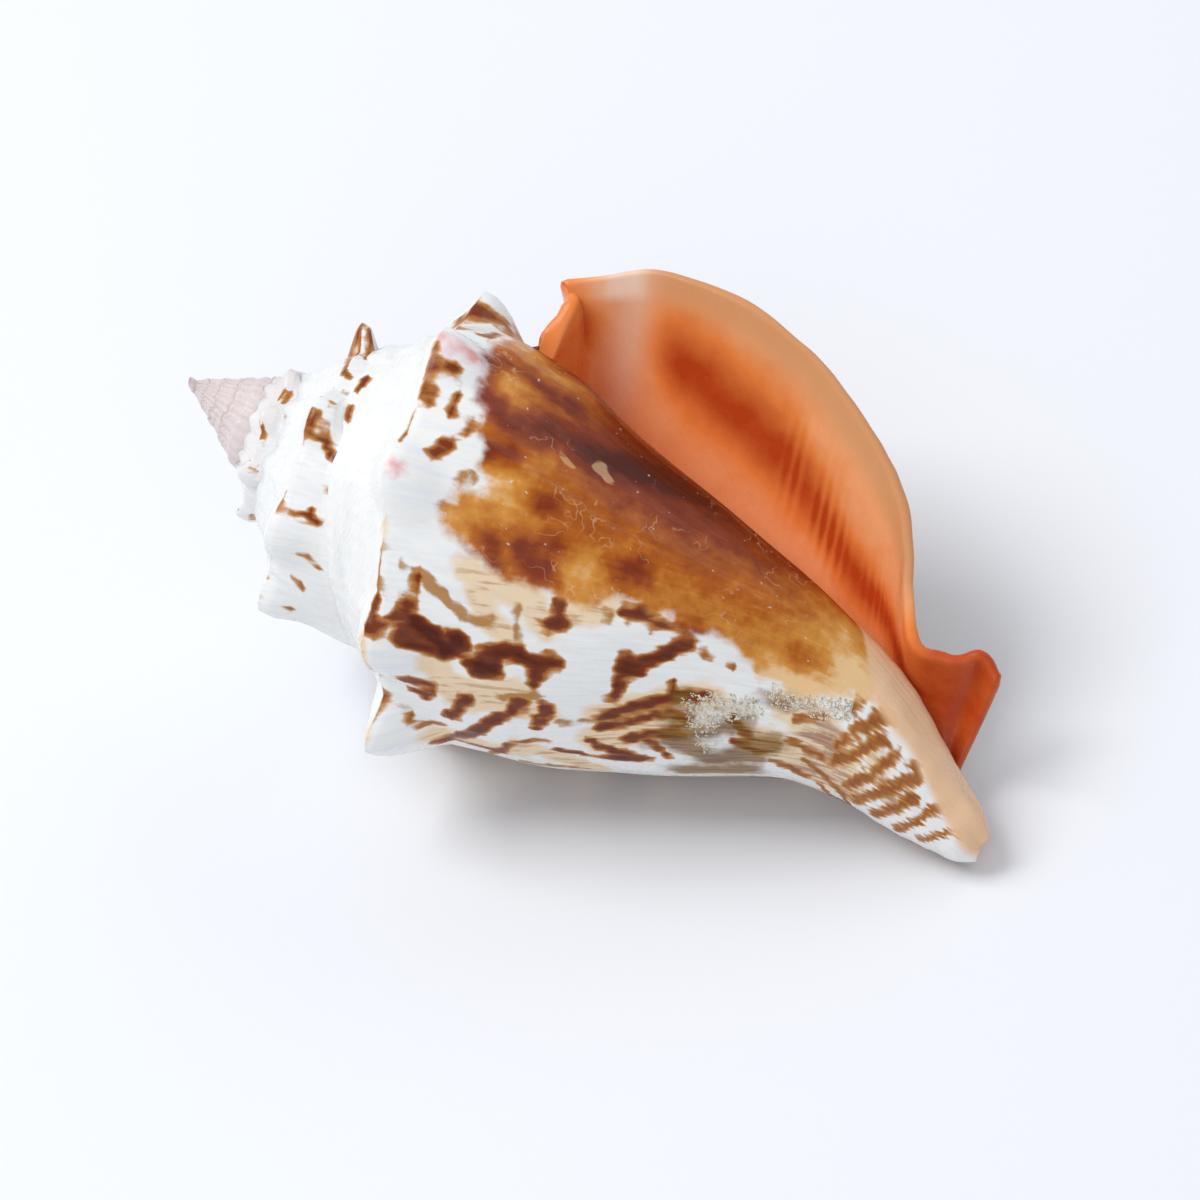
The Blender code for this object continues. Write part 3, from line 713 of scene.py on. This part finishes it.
whorl_radius = curve(back, SHOULDER, 1) * curve(np.clip(across - 1, 0, 1), SIDE, 1)
per_back = FULL_TURN * whorl_radius
per_across = np.where(across > 1, SIDE_MM, RAMP_MM) * np.where(back > 1, whorl_radius / BODY_RADIUS, 1)
near_back = back + WAVER / per_back * waves(back, across, *WAVER_WAVES[0])
near_across = across + WAVER / SIDE_MM * waves(back, across, *WAVER_WAVES[1])
wall_tree = BVHTree.FromPolygons(points.tolist(), quads.tolist())


def seen_at(pixel):
    """The place (back, across) that shows at a pixel of the photograph.

    A ray from the camera through the pixel meets a face of the wall, or passes close by one, and the
    places of its four corners are weighed by how near they are.
    """
    right, up = (pixel[0] - CENTRE_PIXEL[0]) / PIXELS_PER_MM, (CENTRE_PIXEL[1] - pixel[1]) / PIXELS_PER_MM
    ray = Vector(view_axes.T @ np.array([right, up, -VIEW_DISTANCE]))
    hit, _, face, _ = wall_tree.ray_cast(Vector(camera_spot), ray)
    if face is None:
        hit, _, face, _ = wall_tree.find_nearest(Vector(camera_spot) + ray)
    weight = 1 / (np.linalg.norm(points[quads[face]] - np.array(hit), axis=1) + NEAR_ENOUGH)
    four = slice(4 * face, 4 * face + 4)
    return back[four] @ weight / weight.sum(), across[four] @ weight / weight.sum()


def on_shell(picked):
    """Strokes picked in the photograph as strokes of places, with half widths in mm.

    A stroke ends where its next pixel shows another whorl.
    """
    placed = []
    for half_width, *numbers in picked:
        places = [seen_at(pixel) for pixel in zip(numbers[::2], numbers[1::2])]
        places = [place for place in places if abs(place[0] - places[0][0]) < SAME_WHORL]
        placed.append((places, half_width / PIXELS_PER_MM))
    return placed


def line_distance(start, end):
    """Distance in mm from the straight line between two places."""
    x, y = (near_back - start[0]) * per_back, (near_across - start[1]) * per_across
    run, fall = (end[0] - start[0]) * per_back, (end[1] - start[1]) * per_across
    t = np.clip((x * run + y * fall) / (run**2 + fall**2 + TINY), 0, 1)
    return np.hypot(x - t * run, y - t * fall)


def strokes(places):
    """For the nearest of a set of strokes: half width less distance from its line, in mm."""
    field = np.full(back.shape, FAR)
    for line, half_width in places:
        for start, end in zip(line, line[1:] or line):
            field = np.maximum(field, half_width + SPREAD * (back < 1) - line_distance(start, end))
    return field


def region(outline):
    """Distance in mm from an outline of places: above 0 inside it, below 0 outside."""
    near = np.full(back.shape, np.inf)
    within = np.zeros(back.shape, bool)
    for start, end in zip(outline, outline[1:] + outline[:1]):
        near = np.minimum(near, line_distance(start, end))
        spans = (start[1] > near_across) != (end[1] > near_across)
        share = (near_across - start[1]) / (end[1] - start[1] + TINY)
        within ^= spans & (near_back < start[0] + share * (end[0] - start[0]))
    return np.where(within, near, -near)


def soft(field, reach):
    """0 where a field in mm is below -reach, 1 above reach and straight between."""
    return np.clip(0.5 + field / (2 * reach), 0, 1)


# The back carries the same kind of flames. They follow slow waves of back and across that lean with
# growth, and smaller waves make the marks on the ramps of the side that is turned away
BEHIND = (0.50, 0.44)
BELOW_SHOULDER = (1.0, 1.03)
WILD_LEAN = (7, 3.0, 4.0, -3)
WILD_SEED = 31
WILD_NONE = -3.0
WILD_LIFT = 2.7
WILD_SWING = 3.2
WILD_MOST = 1.6
TURNED_AWAY = (0.46, 0.40)
SPIRE_RAMP = (0.5, 0.7)
SPIRE_END = 2.6
BODY_RAMP = (0.72, 0.9)
BODY_RAMP_END = 1.03
KNOB_LIFT = 1.9
KNOB_SWING = 1.5
KNOB_WAVES = (16, 5, 32)
KNOB_MOST = 1.0

outer_side = inside <= 0
on_body = outer_side & (back <= 1)
wild = ease(*BEHIND, back) * ease(*BELOW_SHOULDER, across)
leaning = waves(back * WILD_LEAN[0] + across * WILD_LEAN[1],
                across * WILD_LEAN[2] + back * WILD_LEAN[3], 1, 1, WILD_SEED)
wild_flames = np.clip(WILD_NONE + wild * (WILD_LIFT + WILD_SWING * leaning), WILD_NONE, WILD_MOST)
away = ease(*TURNED_AWAY, np.where(back > 1, back % 1, back)) * np.where(
    back > 1, ease(*SPIRE_RAMP, across) * (back < SPIRE_END),
    ease(*BODY_RAMP, across) * (across < BODY_RAMP_END))
knob_flames = WILD_NONE + away * (KNOB_LIFT + KNOB_SWING * waves(back, across, *KNOB_WAVES))
wild_flames = np.maximum(wild_flames, np.clip(knob_flames, WILD_NONE, KNOB_MOST))

# The bars stay thin and amber. The glaze darkens with its depth in mm from GLAZE_LEFT: by so much a
# mm, from one depth on, over so many mm, and where across it comes in
BAR_INSET = 0.06
BAR_MOST = 0.16
GLAZE_LEFT = 0.72
GLAZE_TONE = 0.20
GLAZE_DEEPENS = [
    (0.006, 0, 18, (0, 1)), (0.021, 0, 18, (1.12, 1.32)), (0.020, 9, 10, (1.2, 1.4)),
]
# Its darker and lighter places: share, spread and softness in mm. It pales at the anterior end
GLAZE_DARKER = (0.44, 0.2, 1.2)
GLAZE_PALER = (-0.16, 0.0, 1.4)
GLAZE_FADE = 0.22
GLAZE_FADE_ACROSS = (1.50, 1.70)

bars = np.minimum(strokes(on_shell(BARS)) - BAR_INSET, BAR_MOST)
flames = np.maximum.reduce([strokes(on_shell(FLAMES)), bars, strokes(on_shell(SPIRE_MARKS)), wild_flames])
columella = (back - curve(across, COLUMELLA_EDGE)) * per_back
glaze_edge = [GLAZE_START] + [seen_at(pixel) for pixel in GLAZE] + GLAZE_END
depth = (back - GLAZE_LEFT) * per_back
glaze_tone = GLAZE_TONE - GLAZE_FADE * ease(*GLAZE_FADE_ACROSS, across)
for share, start, most, comes_in in GLAZE_DEEPENS:
    glaze_tone += share * np.clip(depth - start, 0, most) * ease(*comes_in, across)
for (share, spread, reach), places in ((GLAZE_DARKER, on_shell(GLAZE_DARK)), (GLAZE_PALER, GLAZE_LIGHT)):
    glaze_tone += share * soft(strokes(places) + spread, reach)

# Deep red band inside the lip, partly the shell's own red and partly painted shade where the lip bends,
# as across, back, with its half width, the folds across it, the red of its lower end and upper corner,
# and a spot of painted shade in the hollow of that corner as back, across
BAND = [
    (1.00, 0.020), (1.12, 0.025), (1.27, 0.034), (1.46, 0.041), (1.64, 0.060), (1.80, 0.060), (2.00, 0.040),
]
BAND_WIDTH = 0.020
BAND_START = (1.07, 1.2)
FOLDS = 0.28
FOLD_SPACING = 0.021
FOLDS_IN = (1.36, 1.50)
FOLDS_OUT = (1.80, 1.70)
LOWER_RED = 0.95
LOWER_ACROSS = (1.82, 1.90)
CORNER_RED = 0.40
CORNER_ACROSS = (1.02, 0.90)
CORNER_BACK = (0.14, 0.06)
HOLLOW_SHADE_RED = 0.85
SPOT_PLACE = (0.024, 0.93)
SPOT_SIZE = (0.016, 0.07)
# A pale line painted as the highlight of a ridge under the shoulder inside the lip, and its pale end
# on the edge
RIDGE_ACROSS = 1.07
RIDGE_SHARE = 0.55
RIDGE_WIDTH = 0.038
RIDGE_BACK = (0.11, 0.04)
RIDGE_END_BACK = (0.012, 0.004)
RIDGE_END_IN = (0.98, 1.03)
RIDGE_END_OUT = (1.11, 1.07)

band = np.exp(-((back - curve(across, BAND)) / BAND_WIDTH)**2) * ease(*BAND_START, across)
band = np.maximum(band, LOWER_RED * ease(*LOWER_ACROSS, across))
band = np.maximum(band, CORNER_RED * ease(*CORNER_ACROSS, across) * ease(*CORNER_BACK, back))
folds = np.cos(FULL_TURN * across / FOLD_SPACING) * ease(*FOLDS_IN, across) * ease(*FOLDS_OUT, across)
spot = np.exp(-((back - SPOT_PLACE[0]) / SPOT_SIZE[0])**2 - ((across - SPOT_PLACE[1]) / SPOT_SIZE[1])**2)
band = np.maximum(band * (1 + FOLDS * folds), HOLLOW_SHADE_RED * spot)
ridge_highlight = RIDGE_SHARE * np.exp(-((across - RIDGE_ACROSS) / RIDGE_WIDTH)**2) * ease(*RIDGE_BACK, back)
ridge_end = ease(*RIDGE_END_BACK, back) * ease(*RIDGE_END_IN, across) * ease(*RIDGE_END_OUT, across)

# The fields that the finish reads
TAN_SOFT = 1.2
TAN_BEHIND = 0.7
LEAST_GIRTH = 0.2
INNER_EDGE = (0.008, 0.003)

fields = {
    "flames": flames, "light_flames": strokes(on_shell(LIGHT_FLAMES)), "scars": strokes(on_shell(SCARS)),
    "pink": strokes(on_shell(PINK)), "algae": strokes(on_shell(ALGAE)), "sand": strokes(on_shell(SAND)),
}
fields = {name: np.where(outer_side, values, FAR) for name, values in fields.items()}
sand = fields["sand"]
tan = np.maximum(soft(strokes(on_shell(TAN)), TAN_SOFT), TAN_BEHIND * wild)
fields.update({
    "tan": np.where(outer_side, tan, 0),
    "girth": np.clip(whorl_radius / BODY_RADIUS, LEAST_GIRTH, 1),
    "glaze": np.where(on_body & (across > 1), region(glaze_edge), FAR_OUTSIDE),
    "glaze_tone": glaze_tone,
    "columella": np.where(on_body & (across > COLUMELLA_TOP), columella, FAR),
    "inner": np.maximum((inside > 0) * 1.0, ease(*INNER_EDGE, back)),
    "band": band,
    "ridge_highlight": np.maximum(ridge_highlight, ridge_end),
})
for name, values in fields.items():
    stored = shell_mesh.attributes.new(name, "FLOAT", "CORNER")
    stored.data.foreach_set("value", values.astype(np.float32))
coil = shell_mesh.uv_layers.new(name="coil")
coil.data.foreach_set("uv", np.stack([back, across], axis=-1).astype(np.float32).ravel())

shell = new_object("conch_shell_wall", shell_mesh)
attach(shell, "root")
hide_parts("conch_shell")

# Its finish: porcelain white under brown flames, an amber glaze beside the aperture, an orange
# inside with a red band, lilac early whorls, and a stain of algae and sand on the left side
WHITE = (0.86, 0.855, 0.83, 1)
WHITE_SHADE = (0.79, 0.81, 0.83, 1)
# Painted bluish shade by the sutures of the spire
PAINTED_SUTURE_SHADE = (0.48, 0.54, 0.62, 1)
CREAM = (0.82, 0.58, 0.31, 1)
TAN_COLOUR = (0.44, 0.22, 0.08, 1)
LIGHT_FLAME = (0.42, 0.18, 0.025, 1)
SUTURE_BROWN = (0.42, 0.26, 0.14, 1)
FLAME_RAMP = [
    (0.0, (0.50, 0.21, 0.050, 1)), (0.28, (0.20, 0.036, 0.006, 1)), (0.85, (0.085, 0.011, 0.003, 1)),
]
GLAZE_RAMP = [
    (0.0, (0.82, 0.54, 0.27, 1)), (0.16, (0.66, 0.28, 0.045, 1)), (0.38, (0.44, 0.110, 0.007, 1)),
    (0.60, (0.24, 0.034, 0.004, 1)), (0.85, (0.125, 0.014, 0.003, 1)), (1.0, (0.075, 0.008, 0.003, 1)),
]
INNER_RAMP = [(0.0, (0.94, 0.40, 0.17, 1)), (0.4, (0.84, 0.24, 0.055, 1)), (1.0, (0.50, 0.060, 0.010, 1))]
RIM = (0.60, 0.28, 0.12, 1)
RIDGE_HIGHLIGHT = (0.90, 0.68, 0.55, 1)
COLUMELLA_COLOUR = (0.82, 0.52, 0.30, 1)
LILAC = (0.68, 0.55, 0.54, 1)
PINK_COLOUR = (0.78, 0.36, 0.36, 1)
SCAR_COLOUR = (0.80, 0.50, 0.24, 1)
ALGAE_COLOUR = (0.29, 0.135, 0.012, 1)
SCRATCH = (0.80, 0.52, 0.30, 1)
PURPLE = (0.26, 0.10, 0.075, 1)
ALGAE_DARK = (0.13, 0.045, 0.006, 1)
SAND_COLOUR = (0.72, 0.66, 0.54, 1)
# Where each layer starts and is full, by the number that it follows, and its greatest share
LAYERS = {
    "growth": (0.40, 0.75, 1), "painted_suture_shade": (0.30, 0.0, 0.45), "body_top": (0.90, 1.10, 1),
    "lilac": (2.3, 3.4, 0.75), "suture_line": (0.20, 0.02, 1), "spire": (1.85, 2.1, 1),
    "broken": (0.40, 0.60, 1), "pink": (-0.5, 0.8, 1), "cream": (0.20, 0.70, 0.75),
    "tan": (0.40, 0.95, 0.60), "tan_hairs": (0.50, 0.62, 1), "purple": (0.35, 0.90, 0.62),
    "purple_top": (1.40, 1.58, 1), "purple_streaks": (0.46, 0.60, 1),
    "light_flames": (-0.20, 0.25, 0.92), "flames": (-0.26, 0.04, 1), "glaze": (-0.5, 0.8, 1),
    "scars": (-0.08, 0.08, 0.45), "painted_glints": (0.70, 0.74, 0.50), "scratches": (0.012, 0.003, 0.34),
    "scratched": (0.54, 0.64, 1), "columella": (-0.5, 0.9, 0.95), "rim": (0.014, 0.001, 0.80),
    "rim_top": (0.95, 1.15, 1), "rim_end": (1.86, 1.80, 1), "algae": (-1.0, 0.9, 1),
    "algae_dark": (0.42, 0.62, 1), "sand": (0.25, 0.50, 1),
}
RIDGE_MOST = 0.80
STAIN_MOST = 0.86
# Noises: how fine, how many octaves and their roughness. Those drawn out along the growth lines count
# waves to a whorl and to a side, with their lean, and then octaves
FINE = (900.0, 4.0)
CLOUD = (260.0, 4.0)
MOTTLE = (480.0, 5.0, 0.65)
GRIT = (2600.0, 3.0, 0.6)
# Fine noise for the painted white glints on the glaze
GLINT_SPOTS = (1300.0, 3.0)
SCRATCHES = (380.0, 2.0)
SCRATCHED = (230.0, 1.0)
STREAK = (60.0, 9.0, -14.0, 4.0)
HAIR = (230.0, 12.0, -40.0, 3.0)
# Gloss, and the fine relief that only light shows: its parts, its strength and its height in mm
GLOSS = {"Specular IOR Level": 0.20, "Coat Weight": 0.08, "Coat Roughness": 0.06}
ROUGHNESS = 0.16
FINE_ROUGHNESS = 0.25
DULL_ROUGHNESS = 0.45
BUMPS = {"hair": 0.3, "streak": 1.0, "fine": 0.2}
SAND_BUMP = 2.0
BUMP_STRENGTH = 0.5
BUMP_HEIGHT = 0.18


def new_finish(name, mesh):
    """Gives a mesh a new material, and returns that material's nodes."""
    finish = bpy.data.materials.new(name)
    finish.use_nodes = True
    mesh.materials.append(finish)
    return finish.node_tree


finish_tree = new_finish("shell_finish", shell_mesh)


def step(kind, inputs, output=0, **settings):
    """Adds a shader node, sets or links its inputs by name or number, and gives its output."""
    new = finish_tree.nodes.new("ShaderNode" + kind)
    for key, value in settings.items():
        setattr(new, key, value)
    for key, value in inputs.items():
        if isinstance(value, bpy.types.NodeSocket):
            finish_tree.links.new(value, new.inputs[key])
        else:
            new.inputs[key].default_value = value
    return new.outputs[output]


def field(name):
    """One of the fields stored on the mesh."""
    return step("Attribute", {}, "Fac", attribute_name=name)


def calc(operation, first, *others):
    """Numbers joined one after another by the same operation."""
    for other in others:
        first = step("Math", {0: first, 1: other}, operation=operation)
    return first


def total(*values):
    """The sum of some numbers."""
    return calc("ADD", *values)


def times(*values):
    """The product of some numbers."""
    return calc("MULTIPLY", *values)


def rise(low, high, value):
    """0 below low, 1 above high, smooth between."""
    return step("MapRange", {0: value, 1: low, 2: high}, interpolation_type="SMOOTHSTEP")


def layer(name, value):
    """How much of a layer shows, by the number that it follows."""
    low, high, share = LAYERS[name]
    return times(rise(low, high, value), share)


def cover(under, over, *shares):
    """A colour with another over it, as much as the product of some shares."""
    return step("Mix", {0: times(*shares), 6: under, 7: over}, 2, data_type="RGBA")


def noise(vector, scale, detail=3.0, roughness=0.5):
    """Cloudy noise from 0 to 1."""
    return step("TexNoise", {"Vector": vector, "Scale": scale, "Detail": detail, "Roughness": roughness})


def tones(value, stops):
    """A colour for a number, from a few stops."""
    ramp = finish_tree.nodes.new("ShaderNodeValToRGB")
    while len(ramp.color_ramp.elements) < len(stops):
        ramp.color_ramp.elements.new(1.0)
    for element, (position, colour) in zip(ramp.color_ramp.elements, stops):
        element.position = position
        element.color = colour
    finish_tree.links.new(value, ramp.inputs[0])
    return ramp.outputs[0]


place = step("TexCoord", {}, "Object")
coil_place = step("UVMap", {}, uv_map="coil")
split_place = finish_tree.nodes.new("ShaderNodeSeparateXYZ")
finish_tree.links.new(coil_place, split_place.inputs[0])
along, down = split_place.outputs[0], split_place.outputs[1]


def drawn_out(per_whorl, per_side, lean, detail):
    """Noise in streaks down the wall, counted per whorl and per side, that lean with growth."""
    leaned = total(times(along, per_whorl), times(down, lean))
    return noise(step("CombineXYZ", {0: leaned, 1: times(down, per_side)}), 1.0, detail)


noises = {
    "fine": noise(place, *FINE), "cloud": noise(place, *CLOUD), "mottle": noise(place, *MOTTLE),
    "grit": noise(place, *GRIT), "streak": drawn_out(*STREAK), "hair": drawn_out(*HAIR),
}
hair = noises["hair"]


def ragged(value, **sizes):
    """A number with noises added, each lying evenly about zero and so high from top to bottom."""
    return total(value, *(times(calc("SUBTRACT", noises[name], 0.5), size) for name, size in sizes.items()))


# White wall with faint growth shading, painted bluish shade by the sutures of the spire, and lilac early
# whorls
colour = cover(WHITE, WHITE_SHADE, layer("growth", hair))
colour = cover(colour, PAINTED_SUTURE_SHADE, layer("painted_suture_shade", down), layer("body_top", along))
colour = cover(colour, LILAC, layer("lilac", along))
suture_line = times(layer("suture_line", down), layer("spire", along), layer("broken", noises["streak"]))
colour = cover(colour, SUTURE_BROWN, suture_line)
colour = cover(colour, PINK_COLOUR, layer("pink", ragged(field("pink"), fine=1.5)))

# Tan shade in fine streaks, and brown flames with amber edges
tan = ragged(field("tan"), cloud=0.5, streak=0.7)
colour = cover(colour, CREAM, layer("cream", tan))
colour = cover(colour, TAN_COLOUR, layer("tan", tan), layer("tan_hairs", ragged(hair, fine=0.2)))
purple_streaks = layer("purple_streaks", ragged(noises["streak"], mottle=0.5))
colour = cover(colour, PURPLE, layer("purple", tan), layer("purple_top", down), purple_streaks)
uneven_edge = times(ragged(0.0, streak=0.5, hair=0.3, mottle=0.6), field("girth"))
colour = cover(colour, LIGHT_FLAME, layer("light_flames", total(field("light_flames"), uneven_edge)))
flame = total(field("flames"), uneven_edge)
colour = cover(colour, tones(flame, FLAME_RAMP), layer("flames", flame))

# Amber glaze with its scars, painted white glints and scratches, then the peach strip along the columella
glaze_tone = ragged(field("glaze_tone"), cloud=0.30, streak=0.16, mottle=0.34, hair=0.10, fine=0.22)
glaze_colour = cover(tones(glaze_tone, GLAZE_RAMP), SCAR_COLOUR, layer("scars", field("scars")))
glaze_colour = cover(glaze_colour, WHITE, layer("painted_glints", noise(place, *GLINT_SPOTS)))
scratches = calc("ABSOLUTE", calc("SUBTRACT", noise(place, *SCRATCHES), 0.5), 0.0)
scratched = layer("scratched", noise(place, *SCRATCHED))
glaze_colour = cover(glaze_colour, SCRATCH, layer("scratches", scratches), scratched)
colour = cover(colour, glaze_colour, layer("glaze", ragged(field("glaze"), cloud=1.6, mottle=1.4)))
colour = cover(colour, COLUMELLA_COLOUR, layer("columella", ragged(field("columella"), cloud=1.0)))

# Orange inside with its red band and hollow, partly painted shade, a painted ridge highlight and brown rim
inner_colour = tones(ragged(field("band"), cloud=0.5, mottle=0.2), INNER_RAMP)
inner_colour = cover(inner_colour, RIM, layer("rim", along), layer("rim_end", down), layer("rim_top", down))
# Painted highlight along the ridge
inner_colour = cover(inner_colour, RIDGE_HIGHLIGHT, field("ridge_highlight"), RIDGE_MOST)
colour = cover(colour, inner_colour, field("inner"))

# Algae and sand, which are dull where the wall is glossy
stain = layer("algae", ragged(field("algae"), cloud=2.4, mottle=2.0))
colour = cover(colour, cover(ALGAE_COLOUR, ALGAE_DARK, layer("algae_dark", hair)), stain, STAIN_MOST)
sandy = layer("sand", ragged(field("sand"), grit=6.0, mottle=2.0))
colour = cover(colour, SAND_COLOUR, sandy)
dull = times(calc("MAXIMUM", stain, sandy), DULL_ROUGHNESS)
relief_height = total(times(sandy, SAND_BUMP), *(times(noises[name], size) for name, size in BUMPS.items()))
bump = {"Strength": BUMP_STRENGTH, "Distance": BUMP_HEIGHT * MM, "Height": relief_height}
roughness = total(dull, times(noises["fine"], FINE_ROUGHNESS), ROUGHNESS)


def shade(**settings):
    """Sets or links the inputs of the material's shader, such as Base_Color for Base Color."""
    shader = finish_tree.nodes["Principled BSDF"]
    for name, value in settings.items():
        if isinstance(value, bpy.types.NodeSocket):
            finish_tree.links.new(value, shader.inputs[name.replace("_", " ")])
        else:
            shader.inputs[name.replace("_", " ")].default_value = value


shade(Base_Color=colour, Roughness=roughness, Normal=step("Bump", bump), **GLOSS)


# Sand grains. Grit of broken shell that stuck to the wall in and round the algae, each grain a rough
# eight-sided lump half sunk in it, and all of them joined in one mesh.
GRAINS = 1100
GRAIN_SIZE = (0.05, 0.14)
GRAIN_ROUGHNESS = (0.6, 1.3)
GRAIN_REACH = -0.5
GRAIN_SEED = 71
GRAIN_TIPS = np.array([(1, 0, 0), (-1, 0, 0), (0, 1, 0), (0, -1, 0), (0, 0, 1), (0, 0, -1)], float)
GRAIN_FACES = np.array([
    (0, 2, 4), (2, 1, 4), (1, 3, 4), (3, 0, 4), (2, 0, 5), (1, 2, 5), (3, 1, 5), (0, 3, 5),
])
GRAIN_LIGHT = (0.80, 0.75, 0.64, 1)
GRAIN_DARK = (0.46, 0.38, 0.27, 1)
GRAIN_NOISE = (2200.0, 2.0)
GRAIN_TONES = (0.35, 0.65)
GRAIN_DULL = (0.5, 0.3)

grit_random = np.random.default_rng(GRAIN_SEED)
sandy_quads = np.flatnonzero(sand[:4 * len(quads)].reshape(-1, 4).mean(axis=1) > GRAIN_REACH)
chosen = grit_random.choice(sandy_quads, GRAINS)
share = grit_random.dirichlet(np.ones(4), GRAINS)
grain_middles = np.einsum("gc,gcx->gx", share, points[quads[chosen]])
grain_size = grit_random.uniform(*GRAIN_SIZE, (GRAINS, 1, 1))
grain_size = grain_size * grit_random.uniform(*GRAIN_ROUGHNESS, (GRAINS, len(GRAIN_TIPS), 1))
grain_points = (grain_middles[:, None] + GRAIN_TIPS * grain_size).reshape(-1, 3)
grain_faces = (np.arange(GRAINS)[:, None, None] * len(GRAIN_TIPS) + GRAIN_FACES).reshape(-1, 3)
grain_mesh = bpy.data.meshes.new("sand_grains")
grain_mesh.from_pydata(rest(grain_points).tolist(), [], grain_faces.tolist())
finish_tree = new_finish("grain_finish", grain_mesh)
grain_tone = noise(step("TexCoord", {}, "Object"), *GRAIN_NOISE)
grain_colour = cover(GRAIN_DARK, GRAIN_LIGHT, rise(*GRAIN_TONES, grain_tone))
shade(Base_Color=grain_colour, Roughness=total(GRAIN_DULL[0], times(grain_tone, GRAIN_DULL[1])))
grains = new_object("sand_grains", grain_mesh)
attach(grains, "root")


# The floor under the shell: one wide matt plane at the level of the shell's lowest point. It is only
# set round the shell, and isn't part of it.
FLOOR_HALF = 2.0
FLOOR_COLOUR = (0.84, 0.85, 0.88, 1)
FLOOR_ROUGHNESS = 0.6

floor_level = float(rest(points[used])[:, 2].min())
floor_corners = [(x * FLOOR_HALF, y * FLOOR_HALF, floor_level)
                 for x, y in ((-1, -1), (1, -1), (1, 1), (-1, 1))]
floor_mesh = bpy.data.meshes.new("floor")
floor_mesh.from_pydata(floor_corners, [], [(0, 1, 2, 3)])
finish_tree = new_finish("floor", floor_mesh)
shade(Base_Color=FLOOR_COLOUR, Roughness=FLOOR_ROUGHNESS)
floor = new_object("floor", floor_mesh)


# The light: three square soft lights above the floor that point at the shell, and an even sky that is
# slightly blue.
SKY = (0.90, 0.94, 1.0, 1)
SKY_STRENGTH = 0.55
# Soft lights: place and size in metres, and power in watts
SOFTBOXES = [
    ((-0.50, -0.15, 0.80), 0.50, 5.6), ((0.50, -0.70, 0.70), 0.80, 1.5), ((0.20, 0.80, 0.70), 0.60, 1.2),
]

for index, (spot, size, power) in enumerate(SOFTBOXES):
    lamp = bpy.data.lights.new(f"softbox_{index}", "AREA")
    lamp.size = size
    lamp.energy = power
    softbox = new_object(f"softbox_{index}", lamp)
    softbox.location = spot
    softbox.rotation_euler = Vector(spot).to_track_quat("Z", "Y").to_euler()
world = bpy.data.worlds.new("sky")
world.use_nodes = True
world.node_tree.nodes["Background"].inputs["Color"].default_value = SKY
world.node_tree.nodes["Background"].inputs["Strength"].default_value = SKY_STRENGTH
bpy.context.scene.world = world
bpy.context.scene.view_settings.view_transform = "Standard"
